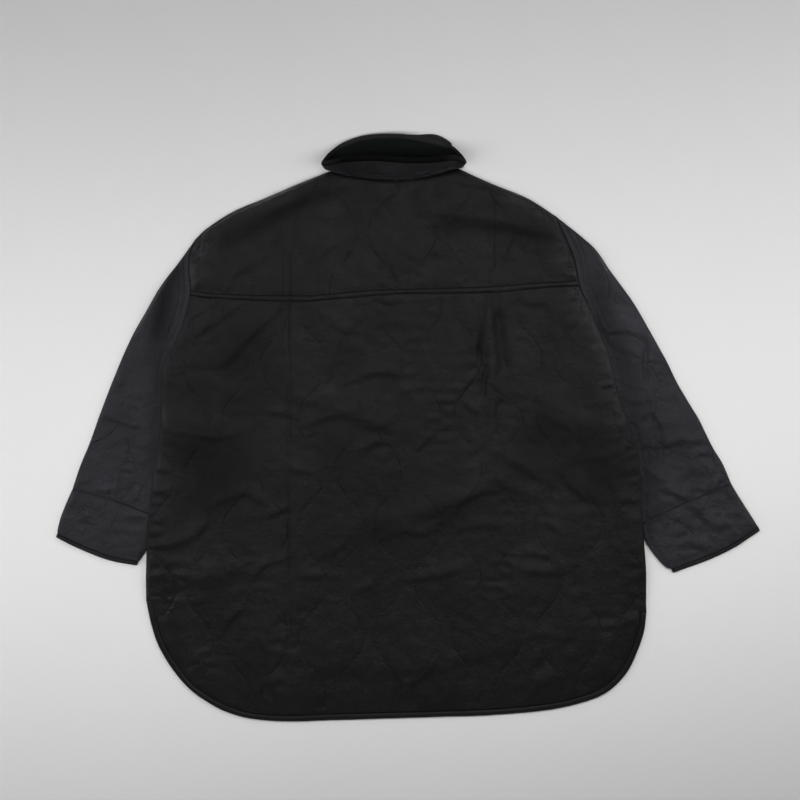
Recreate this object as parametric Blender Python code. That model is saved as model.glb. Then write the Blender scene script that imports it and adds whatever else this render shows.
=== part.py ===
"""A quilted shirt jacket that lies flat, face down, on a level surface.

Every piece that is cut and sewn is one closed wall of cloth.  Sizes are in millimetres in the
garment's own plane: x runs across the back from its centre line, y runs up towards the collar and
z is the height over the surface.  The last step turns them into metres and puts the origin under
the middle of the whole garment.

The layers, from the surface up: sleeves, the two fronts, then the back and its yoke.  The body
lies on the inner part of each sleeve, so a step in its height follows the hidden sleeve edge.
"""

import math

import bmesh
import bpy
import numpy as np
from mathutils import Vector
from mathutils.geometry import delaunay_2d_cdt

MM = 0.001

# ------------------------------------------------------------------ driving sizes, millimetres
SEAM_GAP = 0.3              # clear space between two pieces that are sewn together
FRONT_WALL = 2.8            # a front, padding included
BACK_WALL = 2.0             # the back where it is stitched down
BACK_PUFF = 3.4             # how far the padding lifts the back between the stitches
RAMP_CLEARANCE = 0.8        # extra room between the back and the fronts where they climb a sleeve
SLEEVE_WALL = 2.6           # each of a sleeve's two layers
SLEEVE_HOLLOW = 0.6         # the flat hollow between the layers
SLEEVE_PUFF = 3.0
SLEEVE_TOP = 2.0 * SLEEVE_WALL + SLEEVE_HOLLOW
BODY_STEP = SLEEVE_TOP + SEAM_GAP   # how far the body is lifted where it lies on a sleeve
ROOM_FADE = 25.0            # width over which that room closes past a slope's foot
STEP_RAMP = 38.0            # width of the slope from that step down to the surface
BINDING_WIDTH = 8.0         # visible width of the bias binding on the hems
BINDING_PROUD = 0.9         # how far the binding stands over the wall that it binds
EDGE_ROLL = 9.0             # width over which a wall rounds down to its edge
EDGE_WALL = 1.6             # thickness of a quilted wall at its very edge
DEEPEST_FOLD = 2.6          # the most that folds press a quilted face down, over its puffs
DEEPEST_FACE = 0.5          # and the most that they press it below its stitched-down height
COLLAR_WALL = 2.6
COLLAR_PUFF = 1.3           # how far the padding lifts the collar's outer face
LINING_WALL = 2.4
LINING_GAP = 0.5            # between the collar's shell and its fleece
LINING_END = 0.97           # where the fleece ends, as a share of the collar's height
CORNER_DROP = 0.1           # how much lower it ends in the ring's two tight corners
COLLAR_BINDING = 5.6        # height of the binding on the collar's free edge
COLLAR_BINDING_GAP = 0.9    # clear of the edge where it turns the ring's tight corners

# ------------------------------------------------------------------ point spacing, millimetres
TOP_STEP = 15.0             # along the stitch lines of a quilted face
TOP_STEP_ACROSS = 18.3      # and between them
PLAIN_STEP = 42.0           # on a plain face
EDGE_STEP = 17.0            # along an outline
OUTLINE_STEP = 14.0         # along the outlines that only tell inside from outside
STEP_STEP = 20.0            # along the limit of the area that lies on a sleeve
ROLL_RING = 5.6             # a quilted face's ring of points inside its outline
QUILT_MARGIN = 10.4         # clear space between an outline and the first quilting points
PLAIN_MARGIN = 14.0         # and the first points of a plain face
RAMP_MARGIN = 5.0           # clear space between an outline and a slope's lines
RAMP_SPACE = 12.0           # and between those lines and a plain face's points
RAMP_POINTS = 48            # points on each of those lines

# ------------------------------------------------------------------ quilting
# Neighbouring stitch lines swing towards and away from each other, so that round cells alternate
# with narrow necks.  A cell's widest place lies at the row heights.
CELL_ROW = 150.0            # height of one cell and its neck
LINE_SWING = 18.5           # how far a stitch line swings to each side of its mean
SWING_ROUNDING = 0.045      # third harmonic that rounds the cells and straightens the flanks
COLUMNS = range(-12, 12)    # stitch lines to either side of the centre column
CELL_FLATNESS = 2.2         # how flat a cell is across its middle
CELL_EDGE = 0.8             # how steeply it rises from its stitch lines
NECK_SHARE = 0.6            # how strongly a narrow neck stays low

QUILTS = {
    # name: (x of a column's centre, y of a row, column pitch to the left, to the right, row tilt)
    "back": (19.0, -283.0, 51.5, 55.0, 0.04),
    "yoke": (12.0, 264.0, 53.0, 53.0, 0.0),
}

# ------------------------------------------------------------------ outlines of the body
# rows: (x, y)
BACK_NECK = ((-86, 351), (-46, 343), (0, 340.5), (45, 344.5), (87, 356))
FRONT_NECK = ((-86, 351), (-76, 341), (-45, 329), (0, 324), (46, 330), (77, 345), (87, 356))
SHOULDER_LEFT = ((-86, 351), (-131, 333), (-175, 314), (-218, 296), (-255, 272.5), (-270, 258))
SHOULDER_RIGHT = ((87, 356), (119, 341), (145, 330), (185, 313.5), (222, 290))
# from the shoulder down, with the rows where the yoke seam starts and where the sleeve's own
# edge parts from this one to pass under the body
EDGE_LEFT = (
    (-270, 258), (-279, 233), (-277, 182), (-285, 146), (-297, 116), (-311, 90), (-314, 56),
    (-317, 7), (-322, -45), (-329, -85), (-334, -129), (-336, -184), (-337, -236),
)
EDGE_RIGHT = (
    (222, 290), (238, 256), (247, 233), (255, 195), (268.5, 163), (282, 130), (294.5, 97),
    (308, 44), (325, -3), (336, -44), (339.5, -112), (342, -153), (345, -200), (346.5, -252),
)
YOKE_ROW_LEFT = 2
YOKE_ROW_RIGHT = 3
TUCK_ROW_LEFT = 4
TUCK_ROW_RIGHT = 5
YOKE_SEAM = ((-277, 182), (-218, 180.5), (-148, 175), (-85, 178), (-19, 185), (30, 187.5),
             (75, 189), (140, 189), (192, 192), (255, 195))
HEM = (
    (-337, -236), (-330, -268.5), (-319, -300), (-298, -334), (-277, -358), (-254, -374),
    (-227, -388), (-196, -397), (-147, -401), (-86, -399), (-11, -397), (60, -395), (140, -392),
    (212, -385), (258, -375), (292, -361), (318, -336), (333, -307), (343, -278), (346.5, -252),
)

# ------------------------------------------------------------------ sleeves
# Each sleeve is a flat tube between its armhole edge and the cuff seam.  The armhole edge
# follows the body's as far as the tuck row, and then runs hidden under it.  rows: (x, y)
SLEEVES = {
    "left": {
        "body_edge": (EDGE_LEFT, TUCK_ROW_LEFT),
        "hidden_edge": ((-297, 116), (-299, 85), (-295, 50), (-289, 18)),
        "outer": ((-270, 258), (-293, 226), (-318, 193), (-337, 160), (-358, 123), (-381, 70),
                  (-401, 18), (-415, -21), (-427.5, -51), (-438.5, -84)),
        "inner": ((-289, 18), (-294, -16), (-308, -71), (-326, -119)),
        "cuff_seam": ((-438.5, -84), (-388, -97), (-326, -119)),
        "cuff_outer": ((-438.5, -84), (-447, -103), (-455, -124), (-461, -149)),
        "cuff_inner": ((-326, -119), (-334, -160), (-350, -188)),
        "hem": ((-461, -149), (-427, -166), (-388, -181), (-350, -188)),
        "axis": (-0.38, -0.925),
        "cell": (-337, 79),
        "pitch": 50.0,
    },
    "right": {
        "body_edge": (EDGE_RIGHT, TUCK_ROW_RIGHT),
        "hidden_edge": ((282, 130), (291, 92), (297, 55), (300, 20)),
        "outer": ((222, 290), (255, 264), (277, 244), (295, 218), (329, 171), (355, 126),
                  (375, 90), (388, 63), (408, 29), (419, 11), (437, -26), (451, -49),
                  (463, -77)),
        "inner": ((300, 20), (302, -12), (307, -50), (320, -95), (339, -132)),
        "cuff_seam": ((463, -77), (407, -99), (339, -132)),
        "cuff_outer": ((463, -77), (477, -100), (490.5, -121), (502, -140)),
        "cuff_inner": ((339, -132), (345, -155), (366, -184), (383, -198)),
        "hem": ((502, -140), (465, -164), (430, -181), (383, -198)),
        "axis": (0.454, -0.891),
        "cell": (400, 10),
        "pitch": 52.0,
    },
}
CUFF_PUFF = 2.0
SIDE_DROP = 1.3             # how far a sleeve's upper face comes down at its side folds
SIDE_ROLL = (-2.0, 9.0)     # where that drop starts and how wide it is
FREE_FROM = (3.0, 12.0)     # how far from the body's edge the quilting starts, and its fade
SIDE_FOLD = 0.46            # height of the side folds, as a share of the sleeve's
FOLD_INSET = 3.2            # how far a sleeve's flat faces end short of its side folds
HOLLOW_INSET = 6.0          # how far its hollow does
SLEEVE_SECTIONS = 20
CUFF_SECTIONS = 4
CUFF_BINDING = 6.0          # visible width of the binding on a cuff's hem

# The part of the body that lies on a sleeve: its inner limit, from the top down.  rows: (x, y)
STEP_LIMIT = {
    "left": ((-276, 152), (-281, 116), (-285, 85), (-282, 50), (-276, 18), (-281, -16),
             (-295, -71), (-312, -119), (-320, -160), (-328, -205)),
    "right": ((263, 160), (270, 130), (278, 92), (284, 55), (287, 20), (289, -12), (294, -50),
              (307, -95), (326, -133), (332, -160), (340, -196)),
}
STEP_REACH = 420.0          # x that lies outside the body on both sides

# ------------------------------------------------------------------ large folds of the back
FOLD_ENDS = 0.55            # height of a fold at its ends, as a share of that midway
# rows: (from x, from y, to x, to y, height, half width); a negative height is a trough
FOLDS = (
    (-140, 280, -138, -350, -1.2, 7),
    (128, 168, 112, 25, 3.0, 12),
    (137, 170, 150, 60, -2.2, 9),
    (-93, 326, -264, 262, -2.6, 20),
    (60, 300, 215, 262, -2.4, 18),
    (-159, 148, -216, 93, -3.2, 17),
    (-216, 93, -290, 80, -3.2, 17),
    (-290, 4, -212, -15, -2.6, 15),
    (-264, -105, -196, -92, -3.4, 14),
    (-305, -153, -251, -140, -3.0, 14),
    (92, -105, 147, -74, -3.4, 13),
    (150, -30, 215, -80, 2.6, 16),
    (229, -57, 277, -99, -3.0, 13),
    (-45, -24, 50, -14, -2.2, 15),
    (15, -352, 0, -372, -2.6, 12),
)
SLEEVE_FOLDS = (
    (-352, 20, -372, -70, -2.4, 9),
    (-372, -70, -391, -150, -2.0, 9),
    (-330, 150, -345, 90, -2.2, 12),
    (335, 112, 352, 0, -2.4, 10),
    (337, -25, 400, -18, -2.6, 8),
    (352, -88, 436, -132, 2.2, 12),
)

# ------------------------------------------------------------------ collar
# The collar is a ring, pressed flat: its back half stands up from the back neck seam, its front
# half lies on the surface.  Stations go once round, from the right-hand corner along the front.
# rows: (base x, base y, base z, edge x, edge y, edge z, fleece start as a share of the height)
COLLAR_RING = (
    (91, 359, 5.6, 97, 358, 24.0, 0.72),
    (82, 357, 1.5, 91, 370, 12.0, 0.68),
    (66, 343, 1.5, 75, 382, 8.2, 0.44),
    (34, 331, 1.5, 41, 391, 7.4, 0.42),
    (0, 327, 1.5, 6, 396, 6.2, 0.42),
    (-34, 329, 1.5, -36, 395, 2.4, 0.42),
    (-62, 337, 1.5, -67, 385, 3.0, 0.44),
    (-80, 352, 1.5, -87, 370, 8.0, 0.68),
    (-90, 356, 5.6, -95, 357, 20.0, 0.72),
    (-80, 354, 6.4, -83, 355, 33.0, 0.5),
    (-56, 347.6, 6.4, -62, 357, 42.0, 0.14),
    (-20, 344.4, 6.4, -24, 358, 45.0, 0.12),
    (20, 344.4, 6.4, 20, 355, 45.0, 0.12),
    (52, 349.4, 6.4, 54, 356, 44.0, 0.14),
    (78, 357.6, 6.4, 82, 360, 37.0, 0.5),
)
COLLAR_SWELL = 5.0          # outward bow of the standing half, midway up
STANDING_RIM = (12.0, 22.0)  # rim height where the wall starts to stand, and over which it does
COLLAR_QUILT = (-14.0, 22.0, 51.0, 51.0, 0.0)   # as QUILTS, in lengths along the collar and up it
COLLAR_ROWS = 5
COLLAR_SPAN_PARTS = 3       # stations between two rows of the table
COLLAR_CORNER_PARTS = 6     # and next to the ring's two corners
COLLAR_CORNER_SPANS = (0, 7, 8, 14)
# the other end of the collar, which lies under the ring's front half.  rows: (x, y)
COLLAR_END = ((12.5, 385), (12.5, 400), (36, 401.5), (57, 402), (72, 396), (81, 388), (74, 384),
              (45, 386))

# ------------------------------------------------------------------ materials
MATERIALS = {
    # name: (linear red, green, blue, roughness)
    "shell_cloth": (0.0135, 0.0125, 0.0145, 0.62),
    "fleece": (0.0045, 0.0085, 0.0070, 0.95),
    "binding_cloth": (0.0105, 0.0100, 0.0115, 0.55),
}


# ================================================================== small geometry helpers
def curve(rows, step, first=0, last=None):
    """Points along a smooth curve through the rows first..last, both included."""
    pts = [np.array(row, dtype=float) for row in rows]
    last = len(pts) - 1 if last is None else last
    out = []
    for i in range(first, last):
        before = pts[max(i - 1, 0)]
        after = pts[min(i + 2, len(pts) - 1)]
        start, end = pts[i], pts[i + 1]
        length = np.linalg.norm(end - start)
        count = max(1, round(length / step))
        chord_in = max(np.linalg.norm(start - before), 1e-9)
        chord_out = max(np.linalg.norm(after - end), 1e-9)
        slope_in = (end - before) * length / (length + chord_in) if i > 0 else end - start
        slope_out = ((after - start) * length / (length + chord_out)
                     if i + 2 < len(pts) else end - start)
        for j in range(count):
            t = j / count
            h_start = 2 * t ** 3 - 3 * t ** 2 + 1
            h_in = t ** 3 - 2 * t ** 2 + t
            h_end = -2 * t ** 3 + 3 * t ** 2
            h_out = t ** 3 - t ** 2
            out.append(h_start * start + h_in * slope_in + h_end * end + h_out * slope_out)
    out.append(pts[last])
    return np.array(out)


def resample(points, count):
    """The polyline cut into count - 1 stretches of equal length."""
    lengths = np.linalg.norm(np.diff(points, axis=0), axis=1)
    along = np.concatenate([[0.0], np.cumsum(lengths)])
    wanted = np.linspace(0.0, along[-1], count)
    return np.stack([np.interp(wanted, along, points[:, i]) for i in range(points.shape[1])], 1)


def offset_line(points, distance):
    """An open polyline moved to its left by distance."""
    tangents = np.gradient(points, axis=0)
    tangents /= np.linalg.norm(tangents, axis=1, keepdims=True)
    normals = np.stack([-tangents[:, 1], tangents[:, 0]], 1)
    return points + normals * distance


def join(*lines):
    """Lines that follow each other round a closed outline, without the shared points."""
    loop = []
    for line in lines:
        for point in line:
            if not loop or np.linalg.norm(point - loop[-1]) > 0.05:
                loop.append(point)
    if np.linalg.norm(loop[0] - loop[-1]) < 0.05:
        loop.pop()
    loop = np.array(loop)
    x, y = loop[:, 0], loop[:, 1]
    area = np.sum(x * np.roll(y, -1) - y * np.roll(x, -1))
    return loop if area > 0 else loop[::-1]


def inset(loop, distance):
    """A counter-clockwise loop moved inwards, its corners mitred."""
    to_next = np.roll(loop, -1, axis=0) - loop
    to_next /= np.linalg.norm(to_next, axis=1, keepdims=True)
    from_last = np.roll(to_next, 1, axis=0)
    inward = np.stack([-to_next[:, 1], to_next[:, 0]], 1)
    inward_last = np.stack([-from_last[:, 1], from_last[:, 0]], 1)
    bisector = inward + inward_last
    bisector /= np.linalg.norm(bisector, axis=1, keepdims=True)
    cosine = np.maximum(np.sum(bisector * inward, axis=1), 0.45)
    return loop + bisector * (distance / cosine)[:, None]


def distance_to_line(points, line, closed=True):
    """Distance from each point to a polyline."""
    starts = line if closed else line[:-1]
    ends = np.roll(line, -1, axis=0) if closed else line[1:]
    best = np.full(len(points), np.inf)
    for start, end in zip(starts, ends):
        run = end - start
        along = np.clip((points - start) @ run / max(run @ run, 1e-12), 0.0, 1.0)
        gap = np.linalg.norm(points - (start + along[:, None] * run), axis=1)
        best = np.minimum(best, gap)
    return best


def is_inside(points, loop):
    """Which points lie in a closed loop."""
    inside = np.zeros(len(points), dtype=bool)
    x, y = points[:, 0], points[:, 1]
    for (x0, y0), (x1, y1) in zip(loop, np.roll(loop, -1, axis=0)):
        crosses = (y0 > y) != (y1 > y)
        if crosses.any():
            at = x0 + (y - y0) * (x1 - x0) / (y1 - y0 if y1 != y0 else 1e-12)
            inside ^= crosses & (x < at)
    return inside


def smooth(t):
    """0 below 0, 1 over 1 and an even S between."""
    t = np.clip(t, 0.0, 1.0)
    return t * t * (3.0 - 2.0 * t)


def fold_height(points, folds):
    """Height that a table of straight folds adds at each point."""
    total = np.zeros(len(points))
    for x0, y0, x1, y1, height, half_width in folds:
        start, run = np.array([x0, y0]), np.array([x1 - x0, y1 - y0])
        along = (points - start) @ run / (run @ run)
        near = np.clip(along, 0.0, 1.0)
        gap = np.linalg.norm(points - (start + near[:, None] * run), axis=1)
        taper = FOLD_ENDS + (1.0 - FOLD_ENDS) * np.sin(math.pi * near)
        total += height * taper * np.exp(-(gap / half_width) ** 2)
    return total


# ================================================================== quilting
def swing(phase):
    """Sideways place of a stitch line, -1 to 1, at a phase along it."""
    return (np.cos(phase) - SWING_ROUNDING * np.cos(3 * phase)) / (1 - SWING_ROUNDING)


def stitch_line(quilt, index, y):
    """x of stitch line number index, which lies between columns index and index + 1."""
    centre, row, pitch_left, pitch_right, tilt = quilt
    middle = index + 0.5
    mean = centre + middle * (pitch_right if middle > 0 else pitch_left)
    phase = 2 * math.pi * (y - row - tilt * min(mean, 0.0)) / CELL_ROW
    return mean + (-1) ** index * LINE_SWING * swing(phase)


def quilt_height(points, quilt):
    """0 on the stitch lines, 1 in the middle of the widest cells."""
    x, y = points[:, 0], points[:, 1]
    height = np.zeros(len(points))
    widest = 2 * LINE_SWING + quilt[3]
    for index in COLUMNS:
        left = stitch_line(quilt, index - 1, y)
        right = stitch_line(quilt, index, y)
        width = right - left
        across = (x - left) / width
        here = (across >= 0) & (across < 1)
        round_top = 1 - np.abs(2 * across[here] - 1) ** CELL_FLATNESS
        height[here] = (width[here] / widest) ** NECK_SHARE * round_top ** CELL_EDGE
    return height


def quilt_points(quilt, loop):
    """Points for a quilted face in a loop: rows of stitch-line points and points between."""
    y_low, y_high = loop[:, 1].min(), loop[:, 1].max()
    rows = np.arange(y_low + TOP_STEP / 2, y_high, TOP_STEP)
    points = []
    for y in rows:
        for index in COLUMNS:
            left = stitch_line(quilt, index - 1, y)
            right = stitch_line(quilt, index, y)
            parts = max(1, round((right - left) / TOP_STEP_ACROSS))
            points += [(left + (right - left) * part / parts, y) for part in range(parts)]
    return np.array(points)


# ================================================================== meshes
def make_object(name, vertices, faces, material):
    """One closed solid, faces turned outwards, in its own object; vertices in millimetres."""
    mesh = bpy.data.meshes.new(name)
    mesh.from_pydata([tuple(v) for v in vertices], [], faces)
    work = bmesh.new()
    work.from_mesh(mesh)
    bmesh.ops.recalc_face_normals(work, faces=work.faces)
    if work.calc_volume(signed=True) < 0:
        bmesh.ops.reverse_faces(work, faces=work.faces)
    work.to_mesh(mesh)
    work.free()
    mesh.shade_smooth()
    mesh.materials.append(material)
    item = bpy.data.objects.new(name, mesh)
    bpy.context.scene.collection.objects.link(item)
    return item


def triangulate(loop, extra, lines=()):
    """Triangles that fill a loop, with extra points and lines inside it.

    Returns the points, with the loop's own first, and the triangles.
    """
    count = len(loop)
    points = [Vector(p) for p in loop] + [Vector(p) for p in extra]
    edges = []
    for line in lines:
        start = len(points)
        points += [Vector(p) for p in line]
        edges += [(start + i, start + i + 1) for i in range(len(line) - 1)]
    out, _, faces, origins, _, _ = delaunay_2d_cdt(points, edges, [list(range(count))], 1, 1e-4)
    order = {}
    for new, sources in enumerate(origins):
        for source in sources:
            if source < count:
                order[new] = source
    rest = [i for i in range(len(out)) if i not in order]
    place = dict(order)
    for rank, i in enumerate(rest):
        place[i] = count + rank
    ordered = np.zeros((len(out), 2))
    for i, point in enumerate(out):
        ordered[place[i]] = point
    return ordered, [tuple(place[i] for i in face) for face in faces]


def clip_lines(lines, loop, margin):
    """The stretches of some lines that lie inside a loop, clear of its edge."""
    kept = []
    for line in lines:
        fits = is_inside(line, loop) & (distance_to_line(line, loop) > margin)
        run = []
        for point, ok in zip(line, fits):
            if ok:
                run.append(point)
            elif run:
                kept.append(run)
                run = []
        if run:
            kept.append(run)
    return [line for line in kept if len(line) > 1]


def grid_points(loop, step):
    """A staggered field of points over a loop's box."""
    low, high = loop.min(axis=0), loop.max(axis=0)
    points = []
    for row, y in enumerate(np.arange(low[1] + step / 2, high[1], step)):
        stagger = step / 2 if row % 2 else 0.0
        points += [(x, y) for x in np.arange(low[0] + stagger, high[0], step)]
    return np.array(points).reshape(-1, 2)


def keep_inside(points, loop, margin, clear_of=(), clear=0.0):
    """The points that lie inside a loop, clear of its edge and of some lines."""
    keep = is_inside(points, loop) & (distance_to_line(points, loop) > margin)
    points = points[keep]
    for line in clear_of:
        points = points[distance_to_line(points, np.array(line), closed=False) > clear]
    return points


def wall(name, loop, material, bottom, top, quilt=None):
    """A flat-lying wall of cloth: a loop, with functions for the heights of its two faces.

    bottom(points) and top(points, edge_distance) give heights; a quilt puts the upper face's
    points on the stitch lines.
    """
    ramps = clip_lines(ramp_lines(), loop, RAMP_MARGIN)
    under_extra = keep_inside(grid_points(loop, PLAIN_STEP), loop, PLAIN_MARGIN, ramps,
                              RAMP_SPACE)
    under, under_faces = triangulate(loop, under_extra, ramps)
    if quilt is None:
        over, over_faces = under, under_faces
    else:
        roll = inset(loop, ROLL_RING)
        extra = keep_inside(quilt_points(quilt, loop), loop, QUILT_MARGIN)
        over, over_faces = triangulate(loop, np.vstack([roll, extra]))
    count = len(loop)
    over_z = top(over, distance_to_line(over, loop))
    under_z = bottom(under)
    vertices = np.vstack([np.column_stack([over, over_z]), np.column_stack([under, under_z])])
    start = len(over)
    faces = [tuple(face) for face in over_faces]
    faces += [tuple(start + i for i in reversed(face)) for face in under_faces]
    for i in range(count):
        j = (i + 1) % count
        faces.append((j, i, start + i))
        faces.append((j, start + i, start + j))
    return make_object(name, vertices, faces, material)


def sweep(name, sections, material, closed):
    """A solid through sections of equal point counts; an open sweep gets flat ends."""
    count = len(sections[0])
    vertices = np.vstack(sections)
    faces = []
    total = len(sections)
    for s in range(total if closed else total - 1):
        a, b = s * count, (s + 1) % total * count
        for i in range(count):
            j = (i + 1) % count
            faces.append((a + i, a + j, b + j))
            faces.append((a + i, b + j, b + i))
    if not closed:
        last = (total - 1) * count
        for i in range(1, count - 1):
            faces.append((0, i, i + 1))
            faces.append((last, last + i + 1, last + i))
    return make_object(name, vertices, faces, material)


# ================================================================== the step over the sleeves
def step_polygon(side):
    """The area whose cloth is lifted onto a sleeve, closed beyond the body's edge."""
    rows = STEP_LIMIT[side]
    reach = -STEP_REACH if side == "left" else STEP_REACH
    limit = curve(rows, STEP_STEP)
    return join(limit, np.array([[reach, rows[-1][1]], [reach, rows[0][1]]]))


def ramp_lines():
    """The rim and the foot of each slope, as lines that the faces' edges follow."""
    lines = []
    for side in ("left", "right"):
        polygon = step_polygon(side)
        for distance in (0.0, STEP_RAMP):
            lines.append(resample(outer_ring(polygon, distance), RAMP_POINTS))
    return lines


def outer_ring(polygon, distance):
    """A closed polygon grown by a distance, without its far side beyond the body."""
    grown = inset(polygon, -distance) if distance else polygon
    near = np.abs(grown[:, 0]) < STEP_REACH - 1.0
    first = int(np.argmax(near & ~np.roll(near, 1)))
    rolled = np.roll(grown, -first, axis=0)
    inner = rolled[np.abs(rolled[:, 0]) < STEP_REACH - 1.0]
    return inner


def past_step(points, polygon):
    """Distance of each point from a lifted area, 0 inside it."""
    away = distance_to_line(points, polygon)
    away[is_inside(points, polygon)] = 0.0
    return away


def step_height(points):
    """How far the body is lifted at each point because a sleeve lies under it."""
    lift = np.zeros(len(points))
    for side in ("left", "right"):
        away = past_step(points, step_polygon(side))
        lift = np.maximum(lift, BODY_STEP * np.clip(1.0 - away / STEP_RAMP, 0.0, 1.0))
    return lift


def slope_room(points):
    """Extra room between the layers on a slope and just past its foot."""
    room = np.zeros(len(points))
    for side in ("left", "right"):
        away = past_step(points, step_polygon(side))
        fade = np.clip((STEP_RAMP + 2 * ROOM_FADE - away) / ROOM_FADE, 0.0, 1.0)
        room = np.maximum(room, RAMP_CLEARANCE * fade)
    return room


# ================================================================== the body
def front_top(points, _edge=None):
    return step_height(points) + FRONT_WALL


def back_bottom(points):
    return step_height(points) + FRONT_WALL + SEAM_GAP + slope_room(points)


def back_top(quilt):
    """Height of the quilted upper face of the back or its yoke."""
    def height(points, edge):
        roll = smooth(edge / EDGE_ROLL)
        folds = fold_height(points, FOLDS)
        puff = BACK_PUFF * quilt_height(points, quilt) + np.maximum(folds, -DEEPEST_FOLD)
        rise = BACK_WALL + np.maximum(puff, -DEEPEST_FACE)
        return back_bottom(points) + EDGE_WALL + (rise - EDGE_WALL) * roll
    return height


def build_body(shell):
    shoulder_left = curve(SHOULDER_LEFT, EDGE_STEP)
    shoulder_right = curve(SHOULDER_RIGHT, EDGE_STEP)
    yoke_seam = curve(YOKE_SEAM, EDGE_STEP)
    hem = offset_line(curve(HEM, EDGE_STEP), BINDING_WIDTH)

    yoke_loop = join(
        curve(BACK_NECK, EDGE_STEP), shoulder_right,
        curve(EDGE_RIGHT, EDGE_STEP, last=YOKE_ROW_RIGHT), yoke_seam[::-1],
        curve(EDGE_LEFT, EDGE_STEP, last=YOKE_ROW_LEFT)[::-1], shoulder_left[::-1],
    )
    back_loop = join(
        yoke_seam, curve(EDGE_RIGHT, EDGE_STEP, first=YOKE_ROW_RIGHT), hem[::-1],
        curve(EDGE_LEFT, EDGE_STEP, first=YOKE_ROW_LEFT)[::-1],
    )
    half_gap = SEAM_GAP / 2
    wall("back_yoke", inset(yoke_loop, half_gap), shell, back_bottom,
         back_top(QUILTS["yoke"]), QUILTS["yoke"])
    wall("back_panel", inset(back_loop, half_gap), shell, back_bottom,
         back_top(QUILTS["back"]), QUILTS["back"])

    neck = curve(FRONT_NECK, EDGE_STEP)
    middle_neck = int(np.argmin(np.abs(neck[:, 0])))
    middle_hem = int(np.argmin(np.abs(hem[:, 0])))
    neck[middle_neck, 0] = 0.0
    hem[middle_hem, 0] = 0.0
    left_loop = join(
        neck[:middle_neck + 1], hem[:middle_hem + 1][::-1], curve(EDGE_LEFT, EDGE_STEP)[::-1],
        shoulder_left[::-1],
    )
    right_loop = join(
        neck[middle_neck:], shoulder_right, curve(EDGE_RIGHT, EDGE_STEP),
        hem[middle_hem:][::-1],
    )
    for name, loop in (("front_left", left_loop), ("front_right", right_loop)):
        wall(name, inset(loop, half_gap), shell, step_height, front_top)


# ================================================================== hem bindings
def binding_sections(line, low, high, crown):
    """Sections of a folded strip along a hem line, width BINDING_WIDTH to the line's left."""
    tangents = np.gradient(line, axis=0)
    tangents /= np.linalg.norm(tangents, axis=1, keepdims=True)
    normals = np.stack([-tangents[:, 1], tangents[:, 0]], 1)
    inner = BINDING_WIDTH - SEAM_GAP
    profile = (
        # rows: (distance in from the hem's edge, height)
        (0.0, low + 0.5 * (high - low)), (1.2, low), (inner, low), (inner, high - 0.2),
        (inner * 0.55, high + crown), (1.4, high),
    )
    sections = []
    for point, normal in zip(line, normals):
        rows = [(*(point + normal * across), z) for across, z in profile]
        sections.append(np.array(rows))
    return sections


def build_hem_bindings(material):
    line = curve(HEM, EDGE_STEP)
    low = FRONT_WALL + SEAM_GAP
    sweep("hem_binding_back", binding_sections(line, low, low + EDGE_WALL + 0.6, BINDING_PROUD),
          material, closed=False)
    middle = int(np.argmin(np.abs(line[:, 0])))
    line[middle, 0] = 0.0
    left, right = line[:middle + 1].copy(), line[middle:].copy()
    left[-1, 0] -= SEAM_GAP / 2
    right[0, 0] += SEAM_GAP / 2
    for side, part in (("left", left), ("right", right)):
        sweep(f"hem_binding_front_{side}", binding_sections(part, 0.0, FRONT_WALL, 0.0),
              material, closed=False)


# ================================================================== sleeves and cuffs
def patch(lines, across, along):
    """A point of a four-sided patch between lines of evenly numbered points.

    lines are its outer, inner, start and end line; across goes 0..1 from outer to inner.
    """
    outer, inner, start, end = lines

    def at(line, t):
        place = np.arange(len(line)) / (len(line) - 1)
        return np.array([np.interp(t, place, line[:, i]) for i in range(2)])

    blend = ((1 - across) * at(outer, along) + across * at(inner, along)
             + (1 - along) * at(start, across) + along * at(end, across))
    flat = ((1 - across) * (1 - along) * outer[0] + across * (1 - along) * inner[0]
            + (1 - across) * along * outer[-1] + across * along * inner[-1])
    return blend - flat


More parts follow.
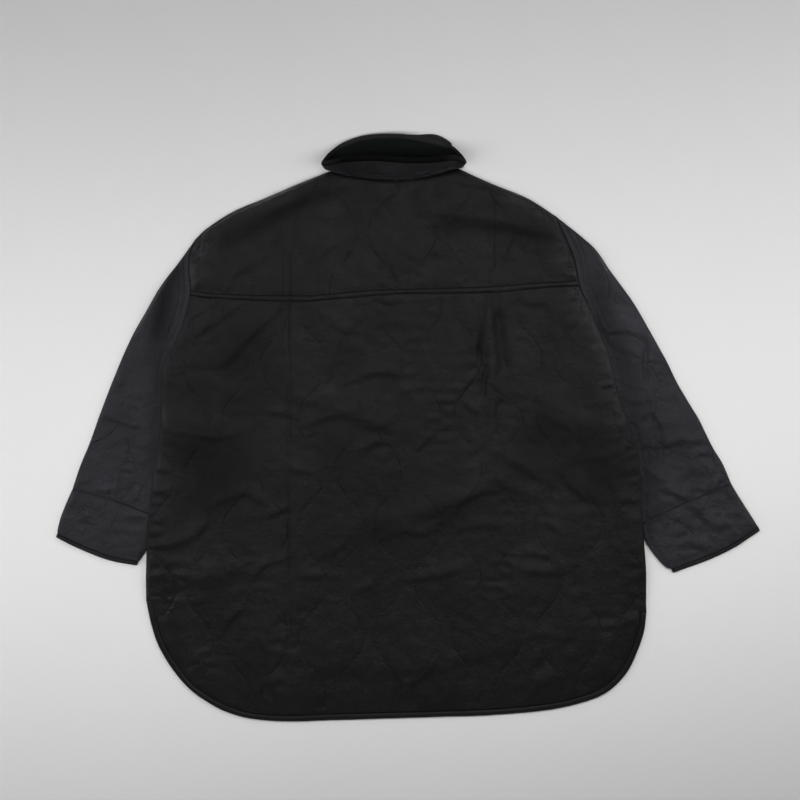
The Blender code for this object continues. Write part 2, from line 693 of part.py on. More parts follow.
def tube(name, lines, sections, material, top, proud=0.0, hollow_every=4):
    """A flat tube of cloth between four lines, open at its start and end.

    Each ring holds its lower points from the inner side to the outer, a point on the outer fold,
    its upper points back again and a point on the inner fold.
    """
    count = len(lines[2])
    low, high = SLEEVE_WALL, SLEEVE_WALL + SLEEVE_HOLLOW
    rings, hollow_rings = [], []
    for s in range(sections + 1):
        along = s / sections
        outer_fold, inner_fold = patch(lines, 0.0, along), patch(lines, 1.0, along)
        width = np.linalg.norm(inner_fold - outer_fold)
        share = np.arange(count) / (count - 1)
        share[0], share[-1] = FOLD_INSET / width, 1 - FOLD_INSET / width
        row = np.array([patch(lines, t, along) for t in share])
        heights = top(row, np.minimum(share, 1 - share) * width) + proud
        middle = SLEEVE_TOP * SIDE_FOLD
        rings.append([(*p, 0.0) for p in row[::-1]] + [(*outer_fold, middle)]
                     + [(*p, z) for p, z in zip(row, heights)] + [(*inner_fold, middle)])
        if s % hollow_every == 0:
            row[0] = patch(lines, HOLLOW_INSET / width, along)
            row[-1] = patch(lines, 1 - HOLLOW_INSET / width, along)
            hollow_rings.append([(*p, low) for p in row[::-1]] + [(*p, high) for p in row])
    ring_size, hollow_size = 2 * count + 2, 2 * count
    hollow_start = len(rings) * ring_size
    faces = []
    for total, first, size in ((len(rings), 0, ring_size),
                               (len(hollow_rings), hollow_start, hollow_size)):
        for s in range(total - 1):
            for i in range(size):
                j = (i + 1) % size
                p, q = first + s * size, first + (s + 1) * size
                faces.append((p + i, p + j, q + j))
                faces.append((p + i, q + j, q + i))
    for ring, hollow in ((0, 0), (len(rings) - 1, len(hollow_rings) - 1)):
        out = ring * ring_size
        into = hollow_start + hollow * hollow_size
        for i in range(count - 1):
            faces.append((out + i, out + i + 1, into + i + 1, into + i))
            upper, hollow_upper = out + count + 1 + i, into + count + i
            faces.append((upper, upper + 1, hollow_upper + 1, hollow_upper))
        faces.append((out + count - 1, out + count, into + count, into + count - 1))
        faces.append((out + count, out + count + 1, into + count))
        faces.append((out + 2 * count, out + 2 * count + 1, into, into + 2 * count - 1))
        faces.append((out + 2 * count + 1, out, into))
    vertices = [p for ring in rings + hollow_rings for p in ring]
    return make_object(name, np.array(vertices), faces, material)


def sleeve_top(side, puff_size, body_loop):
    """Height of a sleeve's upper face; the part under the body stays flat."""
    data = SLEEVES[side]
    axis = np.array(data["axis"])
    across = np.array([-axis[1], axis[0]])
    cell = np.array(data["cell"])
    quilt = (0.0, 0.0, data["pitch"], data["pitch"], 0.0)

    def height(points, from_side):
        local = np.stack([(points - cell) @ across, (points - cell) @ axis], 1)
        covered = is_inside(points, body_loop)
        clear = np.where(covered, 0.0, distance_to_line(points, body_loop))
        free = smooth((clear - FREE_FROM[0]) / FREE_FROM[1])
        roll = smooth((from_side - SIDE_ROLL[0]) / SIDE_ROLL[1])
        puff = puff_size * quilt_height(local, quilt)
        puff = np.maximum(puff + fold_height(points, SLEEVE_FOLDS), -DEEPEST_FACE)
        return SLEEVE_TOP - SIDE_DROP * (1 - roll) + puff * roll * free
    return height


def build_sleeves(shell, binding, body_loop):
    for side, data in SLEEVES.items():
        axis = np.array(data["axis"])
        rows, tuck = data["body_edge"]
        outward = -1.0 if side == "left" else 1.0
        seen = curve(rows, EDGE_STEP, last=tuck)
        hidden = curve(data["hidden_edge"], EDGE_STEP)
        armhole = offset_line(np.vstack([seen, hidden[1:]]), outward * SEAM_GAP)
        count = len(armhole)
        outer = resample(curve(data["outer"], EDGE_STEP), SLEEVE_SECTIONS + 1)
        inner = resample(curve(data["inner"], EDGE_STEP), SLEEVE_SECTIONS + 1)
        outer[0], inner[0] = armhole[0], armhole[-1]
        seam = resample(curve(data["cuff_seam"], EDGE_STEP), count)
        top = sleeve_top(side, SLEEVE_PUFF, body_loop)
        tube(f"sleeve_{side}", (outer, inner, armhole, seam), SLEEVE_SECTIONS, shell, top)

        cuff_start = seam + axis * SEAM_GAP
        hem = resample(curve(data["hem"], EDGE_STEP), count)
        cuff_end = hem - axis * CUFF_BINDING
        sides = []
        for line, place in ((data["cuff_outer"], 0), (data["cuff_inner"], -1)):
            middle = curve(line, EDGE_STEP)[1:-1]
            sides.append(resample(np.vstack([cuff_start[place], middle, cuff_end[place]]),
                                  CUFF_SECTIONS + 1))
        cuff_top = sleeve_top(side, CUFF_PUFF, body_loop)
        tube(f"cuff_{side}", (*sides, cuff_start, cuff_end), CUFF_SECTIONS, shell, cuff_top)

        edge_start = cuff_end + axis * SEAM_GAP
        ends = [np.array([edge_start[place], hem[place]]) for place in (0, -1)]
        tube(f"cuff_binding_{side}", (*ends, edge_start, hem), 1, binding,
             sleeve_top(side, 0.0, body_loop), proud=0.5, hollow_every=1)


# ================================================================== collar
def ring_stations():
    """Stations round the collar on a smooth closed curve, closer together at its corners."""
    rows = np.array(COLLAR_RING, dtype=float)
    total = len(rows)
    stations = []
    for i in range(total):
        p0, p1, p2, p3 = (rows[(i + k) % total] for k in (-1, 0, 1, 2))
        parts = COLLAR_CORNER_PARTS if i in COLLAR_CORNER_SPANS else COLLAR_SPAN_PARTS
        for t in np.arange(parts) / parts:
            stations.append(0.5 * (2 * p1 + (p2 - p0) * t
                                   + (2 * p0 - 5 * p1 + 4 * p2 - p3) * t * t
                                   + (3 * p1 - p0 - 3 * p2 + p3) * t ** 3))
    return np.array(stations)


def collar_middle(whole=True):
    """Middle surface of the shell wall: an array of stations by rows, up to the free edge.

    Without whole, the rows span only the fleece.
    """
    stations = ring_stations()
    base, edge = stations[:, :3], stations[:, 3:6]
    standing = smooth((edge[:, 2] - STANDING_RIM[0]) / STANDING_RIM[1])
    start = np.zeros(len(stations)) if whole else stations[:, 6]
    corner = 4.0 * standing * (1.0 - standing)
    end = np.ones(len(stations)) if whole else LINING_END - CORNER_DROP * corner
    ring = []
    for row in np.linspace(0.0, 1.0, COLLAR_ROWS + 1):
        t = start + (end - start) * row
        line = base + (edge - base) * t[:, None]
        curl = t ** (1.0 + 2.0 * (1.0 - standing))
        line[:, 2] = base[:, 2] + (edge[:, 2] - base[:, 2]) * curl
        line[:, 1] -= COLLAR_SWELL * np.sin(math.pi * t) * standing
        ring.append(line)
    return np.array(ring).transpose(1, 0, 2)


def surface_normals(grid):
    """Unit normals of a closed ring of stations, pointing out of the ring."""
    around = np.roll(grid, -1, axis=0) - np.roll(grid, 1, axis=0)
    up = np.gradient(grid, axis=1)
    normals = np.cross(up, around)
    normals /= np.linalg.norm(normals, axis=2, keepdims=True)
    centre = grid.mean(axis=(0, 1))
    if np.sum((grid - centre) * normals) < 0:
        normals = -normals
    return normals


def collar_puffs(grid):
    """How far the padding lifts the standing half's outer face at each point of the ring."""
    along = np.cumsum(np.linalg.norm(np.diff(grid, axis=0, prepend=grid[:1]), axis=2), axis=0)
    along -= along[len(along) // 2]
    up = np.cumsum(np.linalg.norm(np.diff(grid, axis=1, prepend=grid[:, :1]), axis=2), axis=1)
    lift = quilt_height(np.stack([along.ravel(), up.ravel()], 1), COLLAR_QUILT)
    standing = smooth((grid[:, -1, 2] - STANDING_RIM[0]) / STANDING_RIM[1])
    fade = np.sin(math.pi * np.linspace(0.0, 1.0, grid.shape[1]))
    return COLLAR_PUFF * lift.reshape(along.shape) * standing[:, None] * fade[None, :]


def ring_wall(name, grid, normals, inner, outer, material):
    """A closed ring between two offsets of a surface; outer may differ from point to point."""
    outside = grid + normals * outer
    inside = grid + normals * inner
    sections = []
    for out_line, in_line in zip(outside, inside):
        section = np.vstack([out_line, in_line[::-1]])
        section[:, 2] = np.maximum(section[:, 2], 0.0)
        sections.append(section)
    return sweep(name, sections, material, closed=True)


def build_collar(shell, fleece, binding):
    grid = collar_middle()
    normals = surface_normals(grid)
    half = COLLAR_WALL / 2
    ring_wall("collar", grid, normals, -half, half + collar_puffs(grid)[:, :, None], shell)
    lining = collar_middle(whole=False)
    ring_wall("collar_lining", lining, surface_normals(lining),
              -half - LINING_GAP - LINING_WALL, -half - LINING_GAP, fleece)

    rise = grid[:, -1] - grid[:, -2]
    rise /= np.linalg.norm(rise, axis=1, keepdims=True)
    thick = COLLAR_WALL + LINING_GAP + LINING_WALL
    middle = grid[:, -1] - normals[:, -1] * (thick / 2 - half)
    sections = []
    profile = (
        # rows: (along the wall, across it)
        (COLLAR_BINDING_GAP, 0.5), (COLLAR_BINDING * 0.6, 0.56), (COLLAR_BINDING, 0.2),
        (COLLAR_BINDING, -0.2), (COLLAR_BINDING * 0.6, -0.56), (COLLAR_BINDING_GAP, -0.5),
    )
    for centre, up, normal in zip(middle, rise, normals[:, -1]):
        section = np.array([centre + up * a + normal * b * thick for a, b in profile])
        section[:, 2] = np.maximum(section[:, 2], 0.0)
        sections.append(section)
    sweep("collar_binding", sections, binding, closed=True)

    end_loop = join(curve(COLLAR_END + COLLAR_END[:1], 10.0))
    wall("collar_end", end_loop, shell, lambda p: np.zeros(len(p)),
         lambda p, _edge: np.full(len(p), COLLAR_WALL))


# ================================================================== the whole garment
def make_materials():
    made = {}
    for name, (red, green, blue, roughness) in MATERIALS.items():
        material = bpy.data.materials.new(name)
        material.use_nodes = True
        shader = material.node_tree.nodes["Principled BSDF"]
        shader.inputs["Base Color"].default_value = (red, green, blue, 1.0)
        shader.inputs["Roughness"].default_value = roughness
        shader.inputs["Metallic"].default_value = 0.0
        made[name] = material
    return made


def settle():
    """Turns millimetres into metres, with the origin under the middle of the whole garment."""
    parts = [item for item in bpy.data.objects if item.type == "MESH"]
    low = np.full(3, np.inf)
    high = -low
    for item in parts:
        points = np.array([v.co for v in item.data.vertices])
        low, high = np.minimum(low, points.min(axis=0)), np.maximum(high, points.max(axis=0))
    origin = Vector(((low[0] + high[0]) / 2, (low[1] + high[1]) / 2, low[2]))
    for item in parts:
        for vertex in item.data.vertices:
            vertex.co = (vertex.co - origin) * MM
        item.data.update()


def main():
    for item in list(bpy.data.objects):
        bpy.data.objects.remove(item, do_unlink=True)
    materials = make_materials()
    shell, fleece = materials["shell_cloth"], materials["fleece"]
    binding = materials["binding_cloth"]
    body_loop = join(
        curve(EDGE_LEFT, OUTLINE_STEP), curve(HEM, OUTLINE_STEP),
        curve(EDGE_RIGHT, OUTLINE_STEP)[::-1], curve(SHOULDER_RIGHT, OUTLINE_STEP)[::-1],
        curve(BACK_NECK, OUTLINE_STEP)[::-1], curve(SHOULDER_LEFT, OUTLINE_STEP),
    )
    build_body(shell)
    build_hem_bindings(binding)
    build_sleeves(shell, binding, body_loop)
    build_collar(shell, fleece, binding)
    settle()


main()
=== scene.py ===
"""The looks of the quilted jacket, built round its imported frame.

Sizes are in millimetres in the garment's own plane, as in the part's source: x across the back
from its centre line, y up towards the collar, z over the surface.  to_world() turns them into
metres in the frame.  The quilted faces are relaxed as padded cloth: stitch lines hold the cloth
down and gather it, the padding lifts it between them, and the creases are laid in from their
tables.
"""

import math

import bmesh
import bpy
import numpy as np
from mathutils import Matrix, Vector
from mathutils.geometry import delaunay_2d_cdt


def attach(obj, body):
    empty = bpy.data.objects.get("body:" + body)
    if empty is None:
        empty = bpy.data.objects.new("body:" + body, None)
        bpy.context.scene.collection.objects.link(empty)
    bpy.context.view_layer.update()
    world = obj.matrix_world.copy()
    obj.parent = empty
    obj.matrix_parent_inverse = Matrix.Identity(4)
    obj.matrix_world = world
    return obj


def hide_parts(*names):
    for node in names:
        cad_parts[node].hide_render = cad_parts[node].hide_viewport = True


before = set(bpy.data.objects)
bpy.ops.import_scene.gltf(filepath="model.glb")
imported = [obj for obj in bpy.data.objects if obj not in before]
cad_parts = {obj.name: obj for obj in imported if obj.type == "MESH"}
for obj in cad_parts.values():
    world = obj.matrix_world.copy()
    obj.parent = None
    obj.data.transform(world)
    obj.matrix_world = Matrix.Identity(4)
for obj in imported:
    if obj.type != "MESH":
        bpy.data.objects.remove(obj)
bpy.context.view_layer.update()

MM = 0.001
ORIGIN = (20.5, 0.628, 0.0)          # the frame's origin in the garment's plane
BODY = "root"

# ------------------------------------------------------------------ the part's sizes
SEAM_GAP = 0.3              # clear space between two pieces that are sewn together
FRONT_WALL = 2.8            # a front, padding included
BACK_WALL = 2.0             # the back where it is stitched down
RAMP_CLEARANCE = 0.8        # extra room between the back and the fronts where they climb a sleeve
SLEEVE_WALL = 2.6           # each of a sleeve's two layers
SLEEVE_HOLLOW = 0.6         # the flat hollow between the layers
SLEEVE_TOP = 2.0 * SLEEVE_WALL + SLEEVE_HOLLOW
BODY_STEP = SLEEVE_TOP + SEAM_GAP   # how far the body is lifted where it lies on a sleeve
ROOM_FADE = 25.0            # width over which that room closes past a slope's foot
STEP_RAMP = 38.0            # width of the slope from that step down to the surface
BINDING_WIDTH = 8.0         # visible width of the binding on the hems
COLLAR_WALL = 2.6
LINING_WALL = 2.4
LINING_GAP = 0.5            # between the collar's shell and its fleece
LINING_END = 0.97           # where the fleece ends, as a share of the collar's height
CORNER_DROP = 0.1           # how much lower it ends in the ring's two tight corners
COLLAR_BINDING = 5.6        # height of the binding on the collar's free edge
# Neighbouring stitch lines swing towards and away from each other, so that round cells alternate
# with narrow necks.  A cell's widest place lies at the row heights.
CELL_ROW = 150.0            # height of one cell and its neck
LINE_SWING = 18.5           # how far a stitch line swings to each side of its mean
SWING_ROUNDING = 0.045      # third harmonic that rounds the cells and straightens the flanks
COLUMNS = range(-12, 12)    # stitch lines to either side of the centre column
CELL_FLATNESS = 2.2         # how flat a cell is across its middle
CELL_EDGE = 0.8             # how steeply it rises from its stitch lines
NECK_SHARE = 0.6            # how strongly a narrow neck stays low
TUCK_SLIP = 29.0            # how far the quilting right of the long tuck has slipped
TUCK_EAST = (122.0, 16.0)   # x where that starts, and over what width
TUCK_NORTH = (10.0, 70.0)   # y where it starts, and over what height
QUILTS = {
    # name: (x of a column's centre, y of a row, column pitch to the left, to the right, row tilt)
    "back": (19.0, -283.0, 51.5, 55.0, 0.04),
    "yoke": (12.0, 264.0, 53.0, 53.0, 0.0),
}

# ------------------------------------------------------------------ outlines of the body
# rows: (x, y)
BACK_NECK = ((-86, 351), (-46, 343), (0, 340.5), (45, 344.5), (87, 356))
FRONT_NECK = ((-86, 351), (-76, 341), (-45, 329), (0, 324), (46, 330), (77, 345), (87, 356))
SHOULDER_LEFT = ((-86, 351), (-131, 333), (-175, 314), (-218, 296), (-255, 272.5), (-270, 258))
SHOULDER_RIGHT = ((87, 356), (119, 341), (145, 330), (185, 313.5), (222, 290))
# from the shoulder down, with the rows where the yoke seam starts and where the sleeve's own
# edge parts from this one to pass under the body
EDGE_LEFT = (
    (-270, 258), (-279, 233), (-277, 182), (-285, 146), (-297, 116), (-311, 90), (-314, 56),
    (-317, 7), (-322, -45), (-329, -85), (-334, -129), (-336, -184), (-337, -236),
)
EDGE_RIGHT = (
    (222, 290), (238, 256), (247, 233), (255, 195), (268.5, 163), (282, 130), (294.5, 97),
    (308, 44), (325, -3), (336, -44), (339.5, -112), (342, -153), (345, -200), (346.5, -252),
)
YOKE_ROW_LEFT = 2
YOKE_ROW_RIGHT = 3
TUCK_ROW_LEFT = 4
TUCK_ROW_RIGHT = 5
YOKE_SEAM = ((-277, 182), (-255, 178.5), (-218, 176), (-148, 173.2), (-118, 173), (-85, 176),
             (-34, 180.5), (0, 183), (30, 184), (75, 184), (140, 185.5), (165, 187.5),
             (192, 190.5), (255, 195))
HEM = (
    (-337, -236), (-330, -268.5), (-319, -300), (-298, -334), (-277, -358), (-254, -374),
    (-227, -388), (-196, -397), (-147, -401), (-86, -399), (-11, -397), (60, -395), (140, -392),
    (212, -385), (258, -375), (292, -361), (318, -336), (333, -307), (343, -278), (346.5, -252),
)

# ------------------------------------------------------------------ sleeves
# Each sleeve is a flat tube between its armhole edge and the cuff seam.  The armhole edge
# follows the body's as far as the tuck row, and then runs hidden under it.  rows: (x, y)
SLEEVES = {
    "left": {
        "body_edge": (EDGE_LEFT, TUCK_ROW_LEFT),
        "hidden_edge": ((-297, 116), (-299, 85), (-295, 50), (-289, 18)),
        "outer": ((-270, 258), (-293, 226), (-318, 193), (-337, 160), (-358, 123), (-381, 70),
                  (-401, 18), (-415, -21), (-427.5, -51), (-438.5, -84)),
        "inner": ((-289, 18), (-294, -16), (-308, -71), (-326, -119)),
        "cuff_seam": ((-438.5, -84), (-388, -97), (-326, -119)),
        "cuff_outer": ((-438.5, -84), (-447, -103), (-455, -124), (-461, -149)),
        "cuff_inner": ((-326, -119), (-334, -160), (-350, -188)),
        "hem": ((-461, -149), (-427, -166), (-388, -181), (-350, -188)),
        "axis": (-0.38, -0.925),
        "cell": (-337, 79),
        "pitch": 50.0,
    },
    "right": {
        "body_edge": (EDGE_RIGHT, TUCK_ROW_RIGHT),
        "hidden_edge": ((282, 130), (291, 92), (297, 55), (300, 20)),
        "outer": ((222, 290), (255, 264), (277, 244), (295, 218), (329, 171), (355, 126),
                  (375, 90), (388, 63), (408, 29), (419, 11), (437, -26), (451, -49),
                  (463, -77)),
        "inner": ((300, 20), (302, -12), (307, -50), (320, -95), (339, -132)),
        "cuff_seam": ((463, -77), (407, -99), (339, -132)),
        "cuff_outer": ((463, -77), (477, -100), (490.5, -121), (502, -140)),
        "cuff_inner": ((339, -132), (345, -155), (366, -184), (383, -198)),
        "hem": ((502, -140), (465, -164), (430, -181), (383, -198)),
        "axis": (0.454, -0.891),
        "cell": (400, 10),
        "pitch": 52.0,
    },
}
SIDE_DROP = 1.3             # how far a sleeve's upper face comes down at its side folds
SIDE_ROLL = (-2.0, 9.0)     # where that drop starts and how wide it is
SIDE_FOLD = 0.46            # height of the side folds, as a share of the sleeve's
FOLD_INSET = 3.2            # how far a sleeve's flat faces end short of its side folds
HOLLOW_INSET = 6.0          # how far its hollow does
CUFF_BINDING = 6.0          # visible width of the binding on a cuff's hem

# The part of the body that lies on a sleeve: its inner limit, from the top down.  rows: (x, y)
STEP_LIMIT = {
    "left": ((-276, 152), (-281, 116), (-285, 85), (-282, 50), (-276, 18), (-281, -16),
             (-295, -71), (-312, -119), (-320, -160), (-328, -205)),
    "right": ((263, 160), (270, 130), (278, 92), (284, 55), (287, 20), (289, -12), (294, -50),
              (307, -95), (326, -133), (332, -160), (340, -196)),
}
STEP_REACH = 420.0          # a length that leads out of the body on both sides

# The collar is a ring, pressed flat: its back half stands up from the back neck seam, its front
# half lies on the surface.  Stations go once round, from the right-hand corner along the front.
# rows: (base x, base y, base z, edge x, edge y, edge z, fleece start as a share of the height)
COLLAR_RING = (
    (91, 359, 5.6, 97, 358, 24.0, 0.72),
    (82, 357, 1.5, 91, 370, 12.0, 0.68),
    (66, 343, 1.5, 75, 382, 8.2, 0.44),
    (34, 331, 1.5, 41, 391, 7.4, 0.42),
    (0, 327, 1.5, 6, 396, 6.2, 0.42),
    (-34, 329, 1.5, -36, 395, 2.4, 0.42),
    (-62, 337, 1.5, -67, 385, 3.0, 0.44),
    (-80, 352, 1.5, -87, 370, 8.0, 0.68),
    (-90, 356, 5.6, -95, 357, 20.0, 0.72),
    (-80, 354, 6.4, -83, 355, 33.0, 0.5),
    (-56, 347.6, 6.4, -62, 357, 42.0, 0.14),
    (-20, 344.4, 6.4, -24, 358, 45.0, 0.12),
    (20, 344.4, 6.4, 20, 355, 45.0, 0.12),
    (52, 349.4, 6.4, 54, 356, 44.0, 0.14),
    (78, 357.6, 6.4, 82, 360, 37.0, 0.5),
)
COLLAR_SWELL = 1.6          # outward bow of the standing half, midway up
COLLAR_LEAN = 3.6           # how far its foot lies further out than the frame's
STANDING_RIM = (12.0, 22.0)  # rim height where the wall starts to stand, and over which it does
COLLAR_QUILT = (-14.0, 22.0, 51.0, 51.0, 0.0)   # as QUILTS, in lengths along the collar and up it
COLLAR_ROWS = 24            # stretches between its foot and its free edge
COLLAR_SPAN_PARTS = 16      # stations between two rows of the table
COLLAR_CORNER_PARTS = 22    # and next to the ring's two corners
COLLAR_CORNER_SPANS = (0, 7, 8, 14)
# the other end of the collar, which lies under the ring's front half.  rows: (x, y)
COLLAR_END = ((12.5, 385), (12.5, 400), (36, 401.5), (57, 402), (72, 396), (81, 388), (74, 384),
              (45, 386))

SAME_POINT = 0.05           # closer than this, two points of outlines that meet are one
SHARPEST_MITRE = 0.45       # cosine from which on a corner's mitre grows no longer


def curve(rows, step, first=0, last=None):
    """Points along a smooth curve through the rows first..last, both included."""
    pts = [np.array(row, dtype=float) for row in rows]
    last = len(pts) - 1 if last is None else last
    out = []
    for i in range(first, last):
        before = pts[max(i - 1, 0)]
        after = pts[min(i + 2, len(pts) - 1)]
        start, end = pts[i], pts[i + 1]
        length = np.linalg.norm(end - start)
        count = max(1, round(length / step))
        chord_in = max(np.linalg.norm(start - before), 1e-9)
        chord_out = max(np.linalg.norm(after - end), 1e-9)
        slope_in = (end - before) * length / (length + chord_in) if i > 0 else end - start
        slope_out = ((after - start) * length / (length + chord_out)
                     if i + 2 < len(pts) else end - start)
        for j in range(count):
            t = j / count
            h_start = 2 * t ** 3 - 3 * t ** 2 + 1
            h_in = t ** 3 - 2 * t ** 2 + t
            h_end = -2 * t ** 3 + 3 * t ** 2
            h_out = t ** 3 - t ** 2
            out.append(h_start * start + h_in * slope_in + h_end * end + h_out * slope_out)
    out.append(pts[last])
    return np.array(out)


def read_rows(places, known, rows):
    """The rows of a table, known at some places, read at others."""
    return np.stack([np.interp(places, known, rows[:, i]) for i in range(rows.shape[1])], -1)


def lengths_along(points):
    """How far along a polyline each of its points lies."""
    return np.concatenate([[0.0], np.cumsum(np.linalg.norm(np.diff(points, axis=0), axis=1))])


def resample(points, count):
    """The polyline cut into count - 1 stretches of equal length."""
    along = lengths_along(points)
    return read_rows(np.linspace(0.0, along[-1], count), along, points)


def left_normals(points):
    """Unit vectors to the left of an open polyline, at its points."""
    tangents = np.gradient(points, axis=0)
    tangents /= np.linalg.norm(tangents, axis=1, keepdims=True)
    return np.stack([-tangents[:, 1], tangents[:, 0]], 1)


def offset_line(points, distance):
    """An open polyline moved to its left by distance."""
    return points + left_normals(points) * distance


def join(*lines):
    """Lines that follow each other round a closed outline, without the shared points."""
    loop = []
    for line in lines:
        for point in line:
            if not loop or np.linalg.norm(point - loop[-1]) > SAME_POINT:
                loop.append(point)
    if np.linalg.norm(loop[0] - loop[-1]) < SAME_POINT:
        loop.pop()
    loop = np.array(loop)
    x, y = loop[:, 0], loop[:, 1]
    area = np.sum(x * np.roll(y, -1) - y * np.roll(x, -1))
    return loop if area > 0 else loop[::-1]


def inset(loop, distance):
    """A counter-clockwise loop moved inwards, its corners mitred."""
    to_next = np.roll(loop, -1, axis=0) - loop
    to_next /= np.linalg.norm(to_next, axis=1, keepdims=True)
    from_last = np.roll(to_next, 1, axis=0)
    inward = np.stack([-to_next[:, 1], to_next[:, 0]], 1)
    inward_last = np.stack([-from_last[:, 1], from_last[:, 0]], 1)
    bisector = inward + inward_last
    bisector /= np.linalg.norm(bisector, axis=1, keepdims=True)
    cosine = np.maximum(np.sum(bisector * inward, axis=1), SHARPEST_MITRE)
    return loop + bisector * (distance / cosine)[:, None]


def share_along(points, start, run):
    """How far along a straight run each point lies, from 0 at its start to 1 at its end."""
    return np.clip((points - start) @ run / max(run @ run, 1e-12), 0.0, 1.0)


def stretches(points, line, closed):
    """The run of each stretch of a polyline, with the ways from the stretch to some points."""
    ends = np.roll(line, -1, axis=0) if closed else line[1:]
    for start, end in zip(line, ends):
        run = end - start
        yield run, points - (start + share_along(points, start, run)[:, None] * run)


def distance_to_line(points, line, closed=True):
    """Distance from each point to a polyline."""
    best = np.full(len(points), np.inf)
    for _, apart in stretches(points, line, closed):
        best = np.minimum(best, np.linalg.norm(apart, axis=1))
    return best


def nearest(points, line, closed=False):
    """Distance of each point from a polyline, the direction of its nearest stretch and the way
    from the line to the point."""
    best = np.full(len(points), np.inf)
    tangent, away = np.zeros((2, len(points), 2))
    for run, apart in stretches(points, line, closed):
        gap = np.linalg.norm(apart, axis=1)
        closer = gap < best
        best[closer], away[closer] = gap[closer], apart[closer]
        tangent[closer] = run / np.linalg.norm(run)
    return best, tangent, away


def is_inside(points, loop):
    """Which points lie in a closed loop."""
    inside = np.zeros(len(points), dtype=bool)
    x, y = points[:, 0], points[:, 1]
    for (x0, y0), (x1, y1) in zip(loop, np.roll(loop, -1, axis=0)):
        crosses = (y0 > y) != (y1 > y)
        if crosses.any():
            inside ^= crosses & (x < x0 + (y - y0) * (x1 - x0) / (y1 - y0))
    return inside


def smooth(t):
    """0 below 0, 1 over 1 and an even S between."""
    t = np.clip(t, 0.0, 1.0)
    return t * t * (3.0 - 2.0 * t)


def hill(gap, reach):
    """1 on a line, falling softly to almost 0 at about twice the reach from it."""
    return np.exp(-(gap / reach) ** 2)


def stitch_course(quilt, index, y):
    """x and slope of stitch line number index, which lies between columns index and index + 1."""
    centre, row, pitch_left, pitch_right, tilt = quilt
    middle = index + 0.5
    mean = centre + middle * (pitch_right if middle > 0 else pitch_left)
    turn = 2 * math.pi / CELL_ROW
    phase = 2 * math.pi * (y - row - tilt * min(mean, 0.0)) / CELL_ROW
    swing = (np.cos(phase) - SWING_ROUNDING * np.cos(3 * phase)) / (1 - SWING_ROUNDING)
    lean = (-np.sin(phase) + 3 * SWING_ROUNDING * np.sin(3 * phase)) / (1 - SWING_ROUNDING)
    reach = (-1) ** index * LINE_SWING
    return mean + reach * swing, reach * lean * turn


# ------------------------------------------------------------------ the cloth in relief
CLOTH_STEP = 2.15           # spacing of the points in which a padded face is relaxed
EDGE_POINTS = 3.0           # spacing along the outlines
BACK_PUFF = 2.1             # how far the padding lifts the cloth in the widest cells
SLEEVE_PUFF = 1.9
STITCH_HALF = 1.35          # half width of the groove that a stitch line pulls in
STITCH_DEPTH = 0.7          # how deep that groove is
CREASE_SOFTNESS = 0.85      # the creases' steep sides, as a share of what their tables say
CRISP = 0.32                # share of the creases that the settled cloth keeps sharp
GATHER_REACH = 18.0         # how far from a line the cloth that it gathers still puckers
GATHER = 0.021              # extra cloth along a stitch line, as a share of its length
LOOSE = 0.014               # extra cloth everywhere
RELAX_STEPS = 420
DAMPING = 0.94
SPRINGS = ((1, 0, 0.3), (0, 1, 0.3), (1, 1, 0.1), (-1, 1, 0.1))   # columns, rows, stiffness
BENDING = 0.0065
PADDING = 0.0028            # how firmly the padding holds the cloth at its height
STITCH_HOLD = 0.5           # and how firmly a stitch does
ROUGH_START = 0.02          # unevenness of the cloth's first place, in grid steps
CRINKLES = ((34.0, 0.62), (17.0, 0.50), (8.5, 0.36))    # small creases: size, height
CREASE_END = 0.35           # a crease's height at its ends, as a share of its middle's
FOLD_STRENGTH = 1.4         # the fold lines' height, as a share of what their tables say
FOLD_WOBBLE = 0.4           # how much of the creases' wandering they share
FOLD_RISE = 5.0             # they rise over one part in so many of their length, at each end
TOPSTITCH = 5.8             # distance of the yoke's topstitching from its seam
TOPSTITCH_HALF = 1.2        # half width of the groove that it pulls in
ARMHOLE_TOPSTITCH = 14.5    # distance of the sleeves' topstitching from the body's edge
ARMHOLE_EDGESTITCH = 7.0    # and of the line nearer to it
ARMHOLE_HALF = 1.1

BROW = (3.0, 34.0)          # how much lower the outline lies than the middle, and over what width
